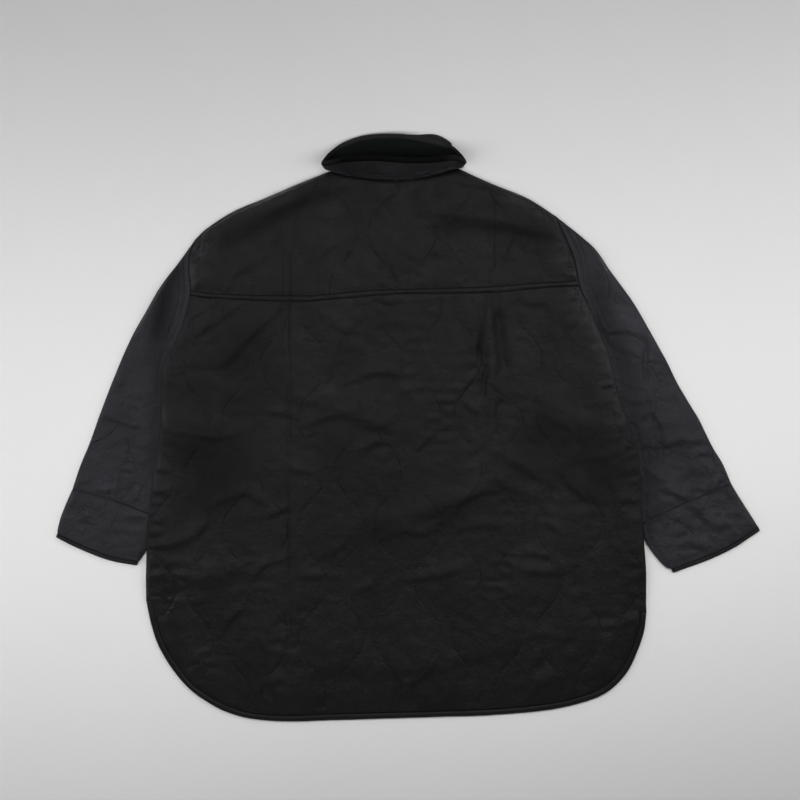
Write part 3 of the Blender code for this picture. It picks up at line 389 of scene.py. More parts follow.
# Creases pressed into the back and the yoke.  Each is a soft ridge with a short steep side
# towards the hem.  rows: (height, width of the gentle side, width of the steep side, points)
CREASES = (
    # the broad ones
    (7.0, 26, 34.0, ((-312, -4), (-268, -20), (-232, -20))),
    (6.0, 24, 32.0, ((214, 24), (262, 12), (312, 2))),
    (3.6, 22, 22.0, ((-250, 130), (-215, 108), (-180, 96))),
    (3.2, 26, 13.0, ((-142, 48), (-60, 24), (24, -6))),
    (3.6, 26, 14.0, ((-66, -142), (20, -120), (90, -94), (152, -62))),
    (2.8, 24, 12.0, ((-320, -190), (-262, -204), (-214, -190))),
    (2.4, 30, 14.0, ((-160, -300), (-60, -322), (60, -318), (170, -290))),
    (3.2, 17, 5.0, ((-150, 166), (-197, 123), (-229, 89), (-267, 85))),
    (3.4, 13, 5.0, ((-308, -2), (-271, -8), (-244, -12), (-213, -8))),
    (3.2, 14, 5.0, ((-251, -111), (-229, -97), (-196, -88), (-179, -99))),
    (3.0, 12, 4.0, ((-170, -121), (-140, -106))),
    (3.0, 13, 4.0, ((-46, 66), (-25, 75), (10, 71))),
    (2.2, 12, 4.0, ((144, 37), (141, 12), (140, -8))),
    (2.8, 15, 4.5, ((155, -42), (173, -52), (200, -70))),
    (2.6, 13, 4.5, ((133, -63), (151, -77), (173, -88))),
    (2.5, 14, 4.5, ((79, -119), (100, -97), (123, -85), (137, -86))),
    (3.0, 16, 5.0, ((225, -52), (237, -73), (252, -85), (278, -99))),
    (2.2, 11, 4.0, ((303, -96), (337, -99))),
    (3.2, 13, 4.5, ((-322, -162), (-295, -158), (-271, -147), (-254, -130))),
    (2.8, 12, 4.0, ((-8, -150), (16, -140), (40, -145), (64, -136))),
    (2.6, 12, 4.0, ((20, -209), (64, -201), (98, -192))),
    (2.4, 10, 4.0, ((164, -190), (190, -196), (227, -198))),
    (2.2, 10, 4.0, ((169, -174), (195, -171), (215, -177), (226, -189))),
    (1.8, 10, 4.0, ((211, -133), (232, -144))),
    (2.4, 13, 4.5, ((-4, -321), (12, -344), (30, -344), (58, -316))),
    (1.8, 12, 4.0, ((-233, 178), (-262, 158), (-288, 141))),
    (2.0, 13, 4.5, ((-210, 169), (-247, 141), (-292, 112))),
    (1.9, 9, 3.5, ((-255, 66), (-234, 56), (-216, 42))),
    (1.3, 9, 3.5, ((-153, -26), (-177, -56))),
    (2.6, 9, 3.5, ((-138, -55), (-118, -60))),
    (1.5, 10, 3.5, ((-90, 147), (-64, 133), (-45, 133))),
    (1.4, 9, 3.5, ((-84, 96), (-88, 67), (-105, 51))),
    (1.4, 9, 3.5, ((-105, 37), (-90, 47), (-74, 44))),
    (2.2, 10, 3.5, ((-114, 4), (-93, 14), (-59, 21))),
    (1.7, 9, 3.5, ((-179, 22), (-150, 20), (-127, 14))),
    (1.8, 8, 3.5, ((-56, -30), (-36, -26), (-22, -18), (-4, -19))),
    (1.3, 9, 3.5, ((-29, 1), (-5, 8))),
    (1.5, 9, 3.5, ((86, 51), (116, 74))),
    (1.5, 9, 3.5, ((93, 41), (103, 30), (116, 21))),
    (1.6, 9, 3.5, ((125, 71), (140, 55), (152, 37))),
    (1.4, 9, 3.5, ((103, 12), (110, -33))),
    (1.8, 11, 4.0, ((171, 181), (185, 169), (207, 169), (218, 153), (223, 130))),
    (1.5, 9, 3.5, ((171, 16), (189, -1))),
    (1.5, 9, 3.5, ((173, 1), (200, -25))),
    (1.5, 9, 3.5, ((211, 12), (244, -4), (234, -18))),
    (1.6, 10, 3.5, ((251, 33), (286, 34))),
    (1.5, 10, 3.5, ((252, -40), (296, -38))),
    (1.3, 8, 3.5, ((310, -22), (323, -25))),
    (1.2, 9, 3.5, ((-4, 141), (14, 145))),
    (1.2, 9, 3.5, ((10, 44), (25, 53))),
    (1.5, 9, 3.5, ((34, -29), (62, -4))),
    (2.3, 9, 3.5, ((-193, -208), (-179, -190), (-141, -174))),
    (1.7, 9, 3.5, ((-127, -204), (-100, -201), (-79, -201))),
    (2.2, 9, 3.5, ((-87, -171), (-66, -156))),
    (2.4, 9, 3.5, ((-52, -225), (-25, -213))),
    (2.1, 10, 3.5, ((-230, -277), (-219, -260), (-201, -243))),
    (1.6, 10, 3.5, ((-271, -314), (-256, -319), (-277, -341))),
    (2.0, 9, 3.5, ((-168, -348), (-147, -341))),
    (1.7, 11, 3.5, ((92, -141), (114, -134), (138, -133))),
    (1.6, 10, 3.5, ((189, -367), (214, -341), (227, -340))),
    (1.2, 8, 3.5, ((199, -281), (216, -282))),
    (1.6, 10, 3.5, ((310, -269), (323, -262), (337, -267))),
    (2.3, 8, 3.0, ((-328, -56), (-304, -58))),
    (2.3, 8, 3.0, ((-328, -88), (-303, -85))),
    (1.3, 8, 3.5, ((-333, -199), (-304, -208))),
    (1.3, 8, 3.5, ((-330, -230), (-306, -225))),
    # the yoke
    (8.0, 22, 19.0, ((-55, 338), (-93, 327), (-158, 297), (-210, 271), (-249, 262))),
    (2.2, 14, 5.0, ((-63, 256), (-86, 244), (-107, 229))),
    (1.5, 12, 5.0, ((-59, 296), (-82, 285), (-107, 284))),
    (1.8, 11, 4.0, ((-255, 210), (-269, 190))),
    (2.0, 12, 4.5, ((-192, 241), (-192, 225), (-210, 212), (-223, 193))),
    (3.0, 15, 6.0, ((64, 343), (93, 335), (144, 323), (199, 306))),
    (6.4, 18, 14.0, ((60, 292), (100, 288), (150, 279), (195, 268), (228, 266))),
    (1.8, 12, 5.0, ((171, 250), (195, 243), (232, 246))),
    (1.8, 11, 4.0, ((48, 233), (58, 241), (70, 233))),
    (1.3, 10, 4.0, ((110, 233), (136, 236))),
    (1.5, 10, 4.0, ((152, 232), (169, 230))),
    (1.2, 6, 6.0, ((26, 312), (52, 284), (64, 263), (97, 218))),
    (1.4, 10, 9.0, ((144, 302), (173, 298), (203, 297), (226, 290))),
)
# Narrow fold lines, from being folded for the shelf, and the tuck beside the right one.
# rows: (height, half width, points); a negative height is a groove
FOLD_LINES = (
    (1.3, 2.6, ((-145, 268), (-143, 180), (-145, 60), (-146, -120), (-143, -320))),
    (-1.0, 2.2, ((-139, 268), (-138, 180), (-140, 60), (-142, -120), (-139, -320))),
    (1.2, 2.8, ((135, 325), (135, 192))),
    (-0.9, 2.2, ((140, 325), (140, 192))),
    (-3.0, 3.0, ((123, 171), (119, 141), (116, 100), (114, 82))),
    (-1.6, 2.6, ((121, 74), (122, 56), (118, 36))),
    (3.4, 9.0, ((131, 178), (130, 127), (132, 93), (133, 70), (131, 10))),
    (-3.0, 5.4, ((143, 166), (147, 134), (150, 100), (156, 70))),
    (-2.6, 3.4, ((153, 44), (143, 26), (142, -8), (138, -18))),
    (-1.2, 4.0, ((-149, 178), (-151, 125))),
    (-1.2, 4.0, ((-141, 178), (-138, 112))),
    (-1.2, 4.0, ((121, 80), (121, 35))),
)
# The same lines, painted as shade in the cloth's colour and dulled in its shine.  rows: points
# from the top down
PRESSED_LINES = (
    ((-151, 262), (-149, 200), (-152, 150), (-149, 112)),
    ((-140, 262), (-139, 185), (-141, 150), (-138, 60), (-141, -120), (-139, -300)),
    ((138, 325), (137, 260), (138, 192)),
    ((123, 168), (119, 141), (116, 100), (114, 84)),
    ((143, 158), (147, 134), (150, 100), (155, 78)),
    ((152, 40), (143, 22), (142, -8), (138, -16)),
)
SLEEVE_FOLD_LINES = (
    (-2.6, 3.4, ((292, 131), (324, 125), (344, 114), (345, 86), (347, 63), (345, 48))),
    (-2.4, 3.4, ((345, 50), (351, 22), (364, -5), (367, -37), (361, -58))),
    (-1.3, 2.4, ((346, -136), (357, -163), (381, -189))),
    (-1.5, 2.6, ((-364, -14), (-381, -74), (-388, -101), (-394, -160))),
)
SLEEVE_CREASES = (
    (2.8, 10, 3.6, ((-397, 20), (-372, 10), (-352, 2))),
    (1.8, 10, 4.0, ((-352, 1), (-363, -12), (-397, -27))),
    (2.4, 11, 6.0, ((-355, -7), (-366, -33), (-375, -59), (-384, -103))),
    (1.4, 9, 5.0, ((-386, -108), (-390, -134), (-392, -160))),
    (5.0, 17, 9.0, ((-300, 226), (-316, 182), (-331, 140), (-336, 104))),
    (1.3, 10, 4.0, ((-352, 88), (-366, 74), (-380, 40))),
    (3.4, 13, 5.0, ((274, 148), (292, 134), (323, 130), (346, 119))),
    (2.0, 12, 4.5, ((288, 125), (314, 111), (340, 97))),
    (2.6, 11, 6.0, ((349, 104), (350, 58), (357, 16), (369, -12))),
    (1.5, 7, 3.0, ((301, 108), (312, 94), (322, 90))),
    (1.1, 7, 3.0, ((306, 82), (326, 88))),
    (1.5, 7, 3.0, ((308, 66), (326, 58), (344, 54))),
    (1.8, 6, 2.6, ((314, 39), (339, 34))),
    (1.3, 7, 3.0, ((322, 10), (332, 4), (344, -14))),
    (1.3, 7, 3.0, ((338, 24), (352, 6))),
    (1.2, 6, 3.0, ((327, 76), (334, 96))),
    (2.4, 9, 3.6, ((350, -58), (374, -74))),
    (3.0, 12, 8.0, ((270, 246), (282, 228), (290, 206))),
    (1.6, 9, 4.0, ((360, 44), (396, 44))),
    (2.2, 11, 3.6, ((338, -25), (365, -23), (388, -18), (412, -18))),
    (1.8, 10, 4.0, ((389, -11), (426, -19))),
    (1.8, 10, 4.0, ((386, -49), (423, -59))),
    (2.4, 12, 5.0, ((351, -62), (371, -81), (403, -99), (426, -123), (453, -142))),
    (1.4, 9, 4.0, ((401, -151), (432, -169))),
    (1.6, 12, 6.0, ((262, 238), (290, 205), (300, 182))),
)


# Painted light and shade on the cloth: broad patches and bands of painted shade, and of painted
# highlight where the share is negative.  rows: (share darker, reach, points)
BODY_PAINTED_LIGHT_AND_SHADE = (
    (0.40, 30, ((-285, -25), (-225, -35), (-255, -90))),
    (0.34, 30, ((200, -5), (250, -25), (300, -55))),
    (0.28, 22, ((-225, 90), (-185, 120))),
    (0.38, 12, ((-228, 264), (-165, 290), (-95, 322))),
    (0.34, 12, ((70, 279), (130, 274), (212, 262))),
    (0.20, 20, ((-250, -72), (-205, -78))),
    (0.18, 20, ((180, -48), (240, -62), (292, -72))),
    (0.16, 24, ((-300, 60), (-240, 40), (-190, 30))),
    (0.12, 46, ((-205, 140), (-195, 40))),
    (0.18, 20, ((245, 50), (290, 30))),
    (0.14, 13, ((160, -78), (100, -112), (40, -138), (-60, -166))),
    (0.10, 60, ((-60, -80), (120, -110))),
    (-0.45, 16, ((-275, 200), (-262, 255), (-200, 300), (-150, 322))),
    (-0.45, 16, ((170, 318), (215, 290), (240, 240), (262, 165), (285, 115), (310, 20))),
    (-0.30, 10, ((-290, 150), (-312, 90), (-318, 20), (-326, -60))),
    (-0.50, 30, ((-318, -200), (-312, -270), (-275, -330))),
)
# painted shade on the sleeves beside the body's edges, and a painted highlight on the right sleeve
SLEEVE_PAINTED_LIGHT_AND_SHADE = (
    (0.30, 15, ((-298, 215), (-314, 160), (-322, 110), (-322, 40), (-330, -60))),
    (0.34, 12, ((-300, 216), (-308, 176), (-318, 130))),
    (0.36, 16, ((276, 200), (296, 140), (316, 90), (330, 20), (345, -60), (352, -120))),
    (-0.36, 24, ((292, 212), (325, 160), (352, 112))),
    (0.16, 28, ((372, -10), (402, -62))),
)
# the painted light and shade of each kind of piece
PAINTED_LIGHT_AND_SHADE = {"yoke": BODY_PAINTED_LIGHT_AND_SHADE, "back": BODY_PAINTED_LIGHT_AND_SHADE, "hem": BODY_PAINTED_LIGHT_AND_SHADE,
         "sleeve": SLEEVE_PAINTED_LIGHT_AND_SHADE, "cuff": SLEEVE_PAINTED_LIGHT_AND_SHADE}


def painted_light_and_shade_at(name, points):
    """The painted light and shade on the cloth of a piece at some points: below 1 painted shade,
    above 1 a painted highlight, 1 where none is painted.
    """
    painted_light_and_shade = np.ones(len(points))
    for share, reach, rows in PAINTED_LIGHT_AND_SHADE.get(name.split("_")[0], ()):
        gap = distance_to_line(points, curve(rows, 12.0), closed=False)
        painted_light_and_shade *= 1.0 - share * hill(gap, reach)
    return painted_light_and_shade


# ================================================================== relief on a grid
def random_rows(seed, *shape):
    """Random values, mostly between -1 and 1."""
    return 0.6 * np.random.default_rng(seed).standard_normal(shape)


def blend_rows(values, places):
    """Rows of values read at places between them; after the last one comes the first."""
    i = places.astype(int)
    share = smooth(places - i).reshape(-1, *(1,) * (values.ndim - 1))
    return values[i] * (1 - share) + values[(i + 1) % len(values)] * share


class Grid:
    """A level grid of points, with fields on it that can be read at any place."""

    def __init__(self, low, high, step):
        self.step = step
        self.low = np.array(low, dtype=float)
        count = np.ceil((np.array(high) - self.low) / step).astype(int) + 1
        self.nx, self.ny = int(count[0]), int(count[1])
        xs = self.low[0] + step * np.arange(self.nx)
        ys = self.low[1] + step * np.arange(self.ny)
        self.x, self.y = np.meshgrid(xs, ys)
        self.points = np.stack([self.x.ravel(), self.y.ravel()], 1)

    def read(self, field, points):
        """The field's values at some points, blended between the four nearest grid points."""
        place = (points - self.low) / self.step
        i = np.clip(place[:, 0].astype(int), 0, self.nx - 2)
        j = np.clip(place[:, 1].astype(int), 0, self.ny - 2)
        a = np.clip(place[:, 0] - i, 0.0, 1.0)
        b = np.clip(place[:, 1] - j, 0.0, 1.0)
        return ((field[j, i] * (1 - a) + field[j, i + 1] * a) * (1 - b)
                + (field[j + 1, i] * (1 - a) + field[j + 1, i + 1] * a) * b)

    def noise(self, scale, seed):
        """Smooth noise with features of the given size, about -1 to 1."""
        rows, columns = (int(count * self.step / scale) + 4 for count in (self.ny, self.nx))
        y, x = (np.arange(count) * self.step / scale + 1 for count in (self.ny, self.nx))
        values = random_rows(seed, rows, columns)
        return blend_rows(blend_rows(values.T, x).T, y)


def crinkle(grid, seed):
    """Small irregular creases: ridged noise in three sizes, stretched in turning directions."""
    total = np.zeros(grid.x.shape)
    for place, (size, height) in enumerate(CRINKLES):
        noise = 1.0 - 2.2 * np.abs(grid.noise(size, seed + 7 * place))
        patches = np.clip(0.6 + grid.noise(size * 3.1, seed + 7 * place + 3), 0.0, 1.4)
        total += height * noise * patches
    return total


def north_side(tangent, away):
    """How far each way from a line leads to the line's side towards the collar."""
    north = np.stack([-tangent[:, 1], tangent[:, 0]], 1)
    south = (north[:, 1] < 0) | ((np.abs(north[:, 1]) < 0.25) & (north[:, 0] > 0))
    return np.sum(away * np.where(south[:, None], -north, north), axis=1)


def end_taper(points, line):
    """1 along the middle of a line, less towards its two ends."""
    along = share_along(points, line[0], line[-1] - line[0])
    return CREASE_END + (1 - CREASE_END) * np.sin(math.pi * along)


def crease_relief(points, creases, wobble):
    """Sum of the soft ridges of a table of creases."""
    total = np.zeros(len(points))
    for height, gentle, steep, rows in creases:
        line = curve(rows, 5.0)
        reach = 3.0 * gentle
        low, high = line.min(axis=0) - reach, line.max(axis=0) + reach
        near = np.all((points > low) & (points < high), axis=1)
        spot = points[near] + wobble[near]
        gap, tangent, away = nearest(spot, line)
        width = np.where(north_side(tangent, away) > 0, gentle, steep * CREASE_SOFTNESS)
        total[near] += height * hill(gap, width) * end_taper(spot, line)
    return total


def fold_line_relief(points, lines, wobble):
    """Sum of the narrow fold lines of a table, each fading out at its ends."""
    total = np.zeros(len(points))
    for height, half_width, rows in lines:
        line = curve(rows, 8.0)
        spot = points + wobble * FOLD_WOBBLE
        gap = distance_to_line(spot, line, closed=False)
        along = share_along(spot, line[0], line[-1] - line[0])
        ends = smooth(FOLD_RISE * along) * smooth(FOLD_RISE * (1 - along))
        total += height * ends * hill(gap, half_width)
    return total


def quilt_fields(x, y, quilt):
    """Fields of a quilt: distance to the nearest stitch line, the puff's share of its height, the
    line's direction, and that distance with a sign that only changes on the lines."""
    shape = x.shape
    gap, puff, signed = np.full(shape, 1e9), np.zeros(shape), np.zeros(shape)
    across_x, along_y = np.zeros(shape), np.ones(shape)
    widest = 2 * LINE_SWING + quilt[3]
    left, _ = stitch_course(quilt, COLUMNS[0] - 1, y)
    for index in COLUMNS:
        right, slope = stitch_course(quilt, index, y)
        width = right - left
        across = (x - left) / width
        here = (across >= 0) & (across < 1)
        crown = (1 - np.abs(2 * across[here] - 1) ** CELL_FLATNESS) ** CELL_EDGE
        puff[here] = (width[here] / widest) ** NECK_SHARE * crown
        length = np.sqrt(1 + slope * slope)
        near = np.abs(x - right) / length
        closer = near < gap
        gap[closer] = near[closer]
        signed[closer] = ((-1) ** index * (x - right) / length)[closer]
        across_x[closer] = (slope / length)[closer]
        along_y[closer] = (1 / length)[closer]
        left = right
    return gap, puff, across_x, along_y, signed


def relax(height, held, growth, step, seed):
    """Settles a padded cloth face over its padding.

    height is where the padding holds it, held is 0 to 1 where stitches pin it to that height,
    and growth is the extra cloth as three fields: along x, along y and shear.  Returns the
    displacement of each grid point in x, y and z.  The cloth is a net of springs with some
    bending stiffness on an elastic bed, moved by damped steps.
    """
    real = np.float32
    rows, columns = height.shape
    flat_x, flat_y = np.meshgrid(np.arange(columns, dtype=real), np.arange(rows, dtype=real))
    bed = (height / step).astype(real)
    random = np.random.default_rng(seed)
    start = bed + ROUGH_START * random.standard_normal(bed.shape).astype(real)
    place = np.stack([flat_x, flat_y, start])
    speed = np.zeros_like(place)
    hold = (PADDING + STITCH_HOLD * held).astype(real)
    along_x, along_y, shear = (part.astype(real) for part in growth)
    springs = []
    for dx, dy, stiffness in SPRINGS:
        ahead, behind = max(dx, 0), max(-dx, 0)
        first = (slice(0, rows - dy), slice(behind, columns - ahead))
        second = (slice(dy, rows), slice(ahead, columns - behind))
        extra = (along_x[first] * dx * dx + along_y[first] * dy * dy
                 + 2 * shear[first] * dx * dy) / (dx * dx + dy * dy)
        rest = (math.hypot(dx, dy) * (1 + extra)).astype(real)
        springs.append(((slice(None), *first), (slice(None), *second), rest, real(stiffness)))
    for _ in range(RELAX_STEPS):
        force = np.zeros_like(place)
        for first, second, rest, stiffness in springs:
            reach = place[second] - place[first]
            length = np.sqrt(reach[0] ** 2 + reach[1] ** 2 + reach[2] ** 2)
            reach *= stiffness * (length - rest) / length
            force[first] += reach
            force[second] -= reach
        bend = spread(spread(place[2]))
        force[2] -= real(BENDING) * bend + hold * (place[2] - bed)
        speed = (speed + force) * real(DAMPING)
        speed[:, 0] = speed[:, -1] = 0
        speed[:, :, 0] = speed[:, :, -1] = 0
        place += speed
    place[0] -= flat_x
    place[1] -= flat_y
    return place.astype(float) * step


def spread(field):
    """The Laplacian of a field, 0 on its border."""
    out = np.zeros_like(field)
    out[1:-1, 1:-1] = (field[:-2, 1:-1] + field[2:, 1:-1] + field[1:-1, :-2] + field[1:-1, 2:]
                       - 4 * field[1:-1, 1:-1])
    return out


def gathers(gap, across_x, along_y, strength):
    """Growth of the cloth near stitch lines, mostly along them."""
    along = LOOSE * strength + GATHER * strength * hill(gap, GATHER_REACH)
    over = LOOSE * strength
    return (along * across_x ** 2 + over * along_y ** 2,
            along * along_y ** 2 + over * across_x ** 2,
            (along - over) * across_x * along_y)


# ================================================================== meshes
def to_world(points):
    """Metres in the frame, from millimetres in the garment's plane."""
    return (np.asarray(points, dtype=float) - np.array(ORIGIN)) * MM


def add_object(name, data):
    """A new object in the scene."""
    made = bpy.data.objects.new(name, data)
    bpy.context.scene.collection.objects.link(made)
    return made


def make_piece(name, vertices, faces, material, node, marks=None):
    """One closed piece, which stands for a CAD node if one is named.

    marks holds each vertex's distance from the nearest line of quilting ("stitch"), from the
    nearest seam, edge or topstitching ("seam") and from the nearest pressed fold line ("press"),
    which the cloth's material reads to paint shade along them and sink them, and the painted light
    and shade of broad patches ("tone").
    """
    mesh = bpy.data.meshes.new(name)
    mesh.from_pydata(to_world(vertices).tolist(), [], faces)
    work = bmesh.new()
    work.from_mesh(mesh)
    bmesh.ops.recalc_face_normals(work, faces=work.faces)
    if work.calc_volume(signed=True) < 0:
        bmesh.ops.reverse_faces(work, faces=work.faces)
    work.to_mesh(mesh)
    work.free()
    mesh.shade_smooth()
    mesh.materials.append(material)
    # painted light and shade in broad patches, unless the piece brings its own
    marks = {"painted_light_and_shade": painted_light_and_shade_at(name, np.asarray(vertices, dtype=float)[:, :2]), **(marks or {})}
    for field in ("stitch", "seam", "press", "painted_light_and_shade"):
        attribute = mesh.attributes.new(field, "FLOAT", "POINT")
        values = np.full(len(vertices), NO_STITCH, dtype=np.float32)
        if field in marks:
            values[:len(marks[field])] = marks[field]
        attribute.data.foreach_set("value", values)
    piece = add_object(name, mesh)
    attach(piece, BODY)
    if node:
        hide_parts(node)
    return piece


def densify(loop, step):
    """A closed loop with its stretches cut to about one step."""
    out = []
    for start, end in zip(loop, np.roll(loop, -1, axis=0)):
        parts = max(1, round(np.linalg.norm(end - start) / step))
        out += [start + (end - start) * part / parts for part in range(parts)]
    return np.array(out)


# the neighbours of a cell of a padded grid, and the corners between it and each
CELL_SIDES = (((0, 1), ((0, 0), (0, 1))), ((2, 1), ((1, 0), (1, 1))),
              ((1, 0), ((0, 0), (1, 0))), ((1, 2), ((0, 1), (1, 1))))


def border_edges(kept):
    """Edges with one face between kept cells of a grid, as pairs of (row, column) corners."""
    padded = np.pad(kept, 1)
    edges = []
    for j, i in zip(*np.nonzero(kept)):
        for beside, ends in CELL_SIDES:
            if not padded[j + beside[0], i + beside[1]]:
                edges.append(tuple((j + row, i + column) for row, column in ends))
    return edges


def fill_face(loop, grid, margin):
    """Points and faces that fill a loop: the grid's cells inside, triangles along the loop.

    Returns the points, the loop's own first, and the faces.
    """
    inside = is_inside(grid.points, loop) & (distance_to_line(grid.points, loop) > margin)
    inside = inside.reshape(grid.x.shape)
    kept = inside[:-1, :-1] & inside[1:, :-1] & inside[:-1, 1:] & inside[1:, 1:]
    number = {}
    border = border_edges(kept)
    points = [tuple(p) for p in loop]
    for edge in border:
        for j, i in edge:
            if (j, i) not in number:
                number[(j, i)] = len(points)
                points.append((grid.x[j, i], grid.y[j, i]))
    edges = [(number[a], number[b]) for a, b in border]
    out, _, found, origins, _, _ = delaunay_2d_cdt(
        [Vector(p) for p in points], edges, [list(range(len(loop)))], 1, 1e-5)
    names = []
    for place, source in zip(out, origins):
        names.append(source[0] if source else len(points))
        if not source:
            points.append(tuple(place))
    faces = []
    for face in found:
        corners = [names[i] for i in face]
        middle = np.mean([points[i] for i in corners], axis=0)
        j = int((middle[1] - grid.low[1]) / grid.step)
        i = int((middle[0] - grid.low[0]) / grid.step)
        if 0 <= j < kept.shape[0] and 0 <= i < kept.shape[1] and kept[j, i]:
            continue
        faces.append(tuple(corners))
    index = np.full(grid.x.shape, -1)
    for (j, i), place in number.items():
        index[j, i] = place
    padded = np.pad(kept, 1)
    used = padded[:-1, :-1] | padded[1:, :-1] | padded[:-1, 1:] | padded[1:, 1:]
    fresh = used & (index < 0)
    index[fresh] = len(points) + np.arange(fresh.sum())
    points = np.vstack([np.array(points), np.stack([grid.x[fresh], grid.y[fresh]], 1)])
    j, i = np.nonzero(kept)
    quads = np.stack([index[j, i], index[j, i + 1], index[j + 1, i + 1], index[j + 1, i]], 1)
    faces += [tuple(quad) for quad in quads.tolist()]
    return points, faces


def round_edge(gap, radius):
    """0 on an edge to 1 a radius in, as a quarter circle."""
    t = np.clip(gap / radius, 0.0, 1.0)
    return np.sqrt(1 - (1 - t) ** 2)


NO_STITCH = 9.0             # a distance from a line that leaves the cloth unmarked
EDGE_RINGS = (0.3, 0.9, 2.2)    # how far the rings of points next to an edge lie from it
UNDER_STEP = 4.5            # spacing of the points of a quilted underside
PLAIN_UNDER_STEP = 24.0     # and of a plain one
UNDER_GROOVE = (0.45, 2.0)  # how deep and wide the quilting's lines are there
EDGE_ROUND = 1.0            # radius of a sheet's upper edge
EDGE_MIDDLE = 0.45          # height of its outermost points, as a share of the wall's
GRID_MARGIN = 0.8           # how far an upper face's grid ends short of its ring, in grid steps
SPARSE_MARGIN = 0.4         # and an underside's


def sheet_piece(name, loop, grid, top, bottom, material, node, slot, mark=None, sewn=None,
                pressed=None, under_mark=None):
    """A closed sheet: a relaxed upper face, a rounded edge and an underside.

    top(points) gives places in three dimensions, bottom(points) gives heights.  mark(points) gives
    the distance from the quilting, sewn(points) that from other stitching, and pressed(points)
    that from pressed lines.  under_mark(points) is the quilting's distance on the underside.
    """
    outline = densify(loop, EDGE_POINTS)
    rings = [outline] + [inset(outline, gap) for gap in EDGE_RINGS]
    count = len(outline)
    inner, faces = fill_face(rings[-1], grid, CLOTH_STEP * GRID_MARGIN)
    place = top(inner)
    vertices = [place]
    start = len(place)
    last = 0
    for ring, gap in zip(rings[-2::-1], (*EDGE_RINGS[-2::-1], 0.0)):
        low = bottom(ring)
        high = top(ring)[:, 2]
        middle = low + EDGE_MIDDLE * (high - low)
        z = middle + (high - middle) * round_edge(gap, EDGE_ROUND)
        vertices.append(np.column_stack([ring, z]))
        faces += band(start, last, count)
        last = start
        start += count
    under_ring = inset(outline, EDGE_RINGS[1])
    spacing = UNDER_STEP if under_mark else PLAIN_UNDER_STEP
    under, under_faces = triangulate(under_ring, sparse_points(under_ring, spacing))
    under_away = under_mark(under) if under_mark else np.full(len(under), NO_STITCH)
    vertices.append(np.column_stack([under, bottom(under) + under_groove(under_away)]))
    faces += band(start, last, count)
    faces += [tuple(start + i for i in reversed(face)) for face in under_faces]
    from_edge = distance_to_line(inner, rings[0])
    if sewn:
        from_sewn = sewn(inner)
        from_edge = np.where(np.abs(from_sewn) < from_edge, from_sewn, from_edge)
    marks = {"seam": np.concatenate([
        from_edge, *(np.full(count, gap) for gap in (*EDGE_RINGS[-2::-1], 0.0)), np.zeros(count)])}
    above = mark(inner) if mark else np.full(len(inner), NO_STITCH)
    marks["stitch"] = np.concatenate([above, np.full(3 * count, NO_STITCH), under_away])
    if pressed:
        marks["press"] = pressed(inner)
    return make_piece(name, np.vstack(vertices), faces, material, node, marks)


def under_groove(away):
    """How far the quilting lifts a flat underside off the floor at this distance from a line."""
    return UNDER_GROOVE[0] * hill(away, UNDER_GROOVE[1])


def band(first, second, count):
    """Faces between two rings of count vertices each."""
    pairs = [(i, (i + 1) % count) for i in range(count)]
    return [(first + i, first + j, second + j, second + i) for i, j in pairs]


def sparse_points(loop, step):
    """Points inside a loop on a level grid of the given step."""
    low, high = loop.min(axis=0), loop.max(axis=0)
    x, y = np.meshgrid(np.arange(low[0], high[0], step), np.arange(low[1], high[1], step))
    points = np.stack([x.ravel(), y.ravel()], 1)
    return points[is_inside(points, loop)
                  & (distance_to_line(points, loop) > step * SPARSE_MARGIN)]


def triangulate(loop, extra):
    """Triangles that fill a loop with extra points inside; the loop's own points come first."""
    points = [Vector(p) for p in (*loop, *extra)]
    out, _, faces, origins, _, _ = delaunay_2d_cdt(points, [], [list(range(len(loop)))], 1, 1e-5)
    names = [source[0] for source in origins]
    ordered = np.zeros((len(points), 2))
    for i, point in enumerate(out):
        ordered[names[i]] = point
    return ordered, [tuple(names[i] for i in face) for face in faces]


# ================================================================== heights of the layers
def step_polygon(side):
    """Outline of the area in which the body lies on a sleeve."""
    rows = STEP_LIMIT[side]
    reach = -STEP_REACH if side == "left" else STEP_REACH
    limit = curve(rows, 20.0)
    return join(limit, np.array([[reach, rows[-1][1]], [reach, rows[0][1]]]))


def past_step(points, polygon):
    """How far each point lies outside an outline."""
    away = distance_to_line(points, polygon)
    away[is_inside(points, polygon)] = 0.0
    return away


def layer_fields(grid):
    """How far the body is lifted by the sleeves, and the extra room between its layers."""
    lift, room = np.zeros(len(grid.points)), np.zeros(len(grid.points))
    for side in ("left", "right"):
        away = past_step(grid.points, step_polygon(side))
        ramp = np.clip(1.0 - away / STEP_RAMP, 0.0, 1.0)
        lift = np.maximum(lift, BODY_STEP * ramp)
        fade = np.clip((STEP_RAMP + 2 * ROOM_FADE - away) / ROOM_FADE, 0.0, 1.0)
        room = np.maximum(room, RAMP_CLEARANCE * fade)
    return lift.reshape(grid.x.shape), room.reshape(grid.x.shape)


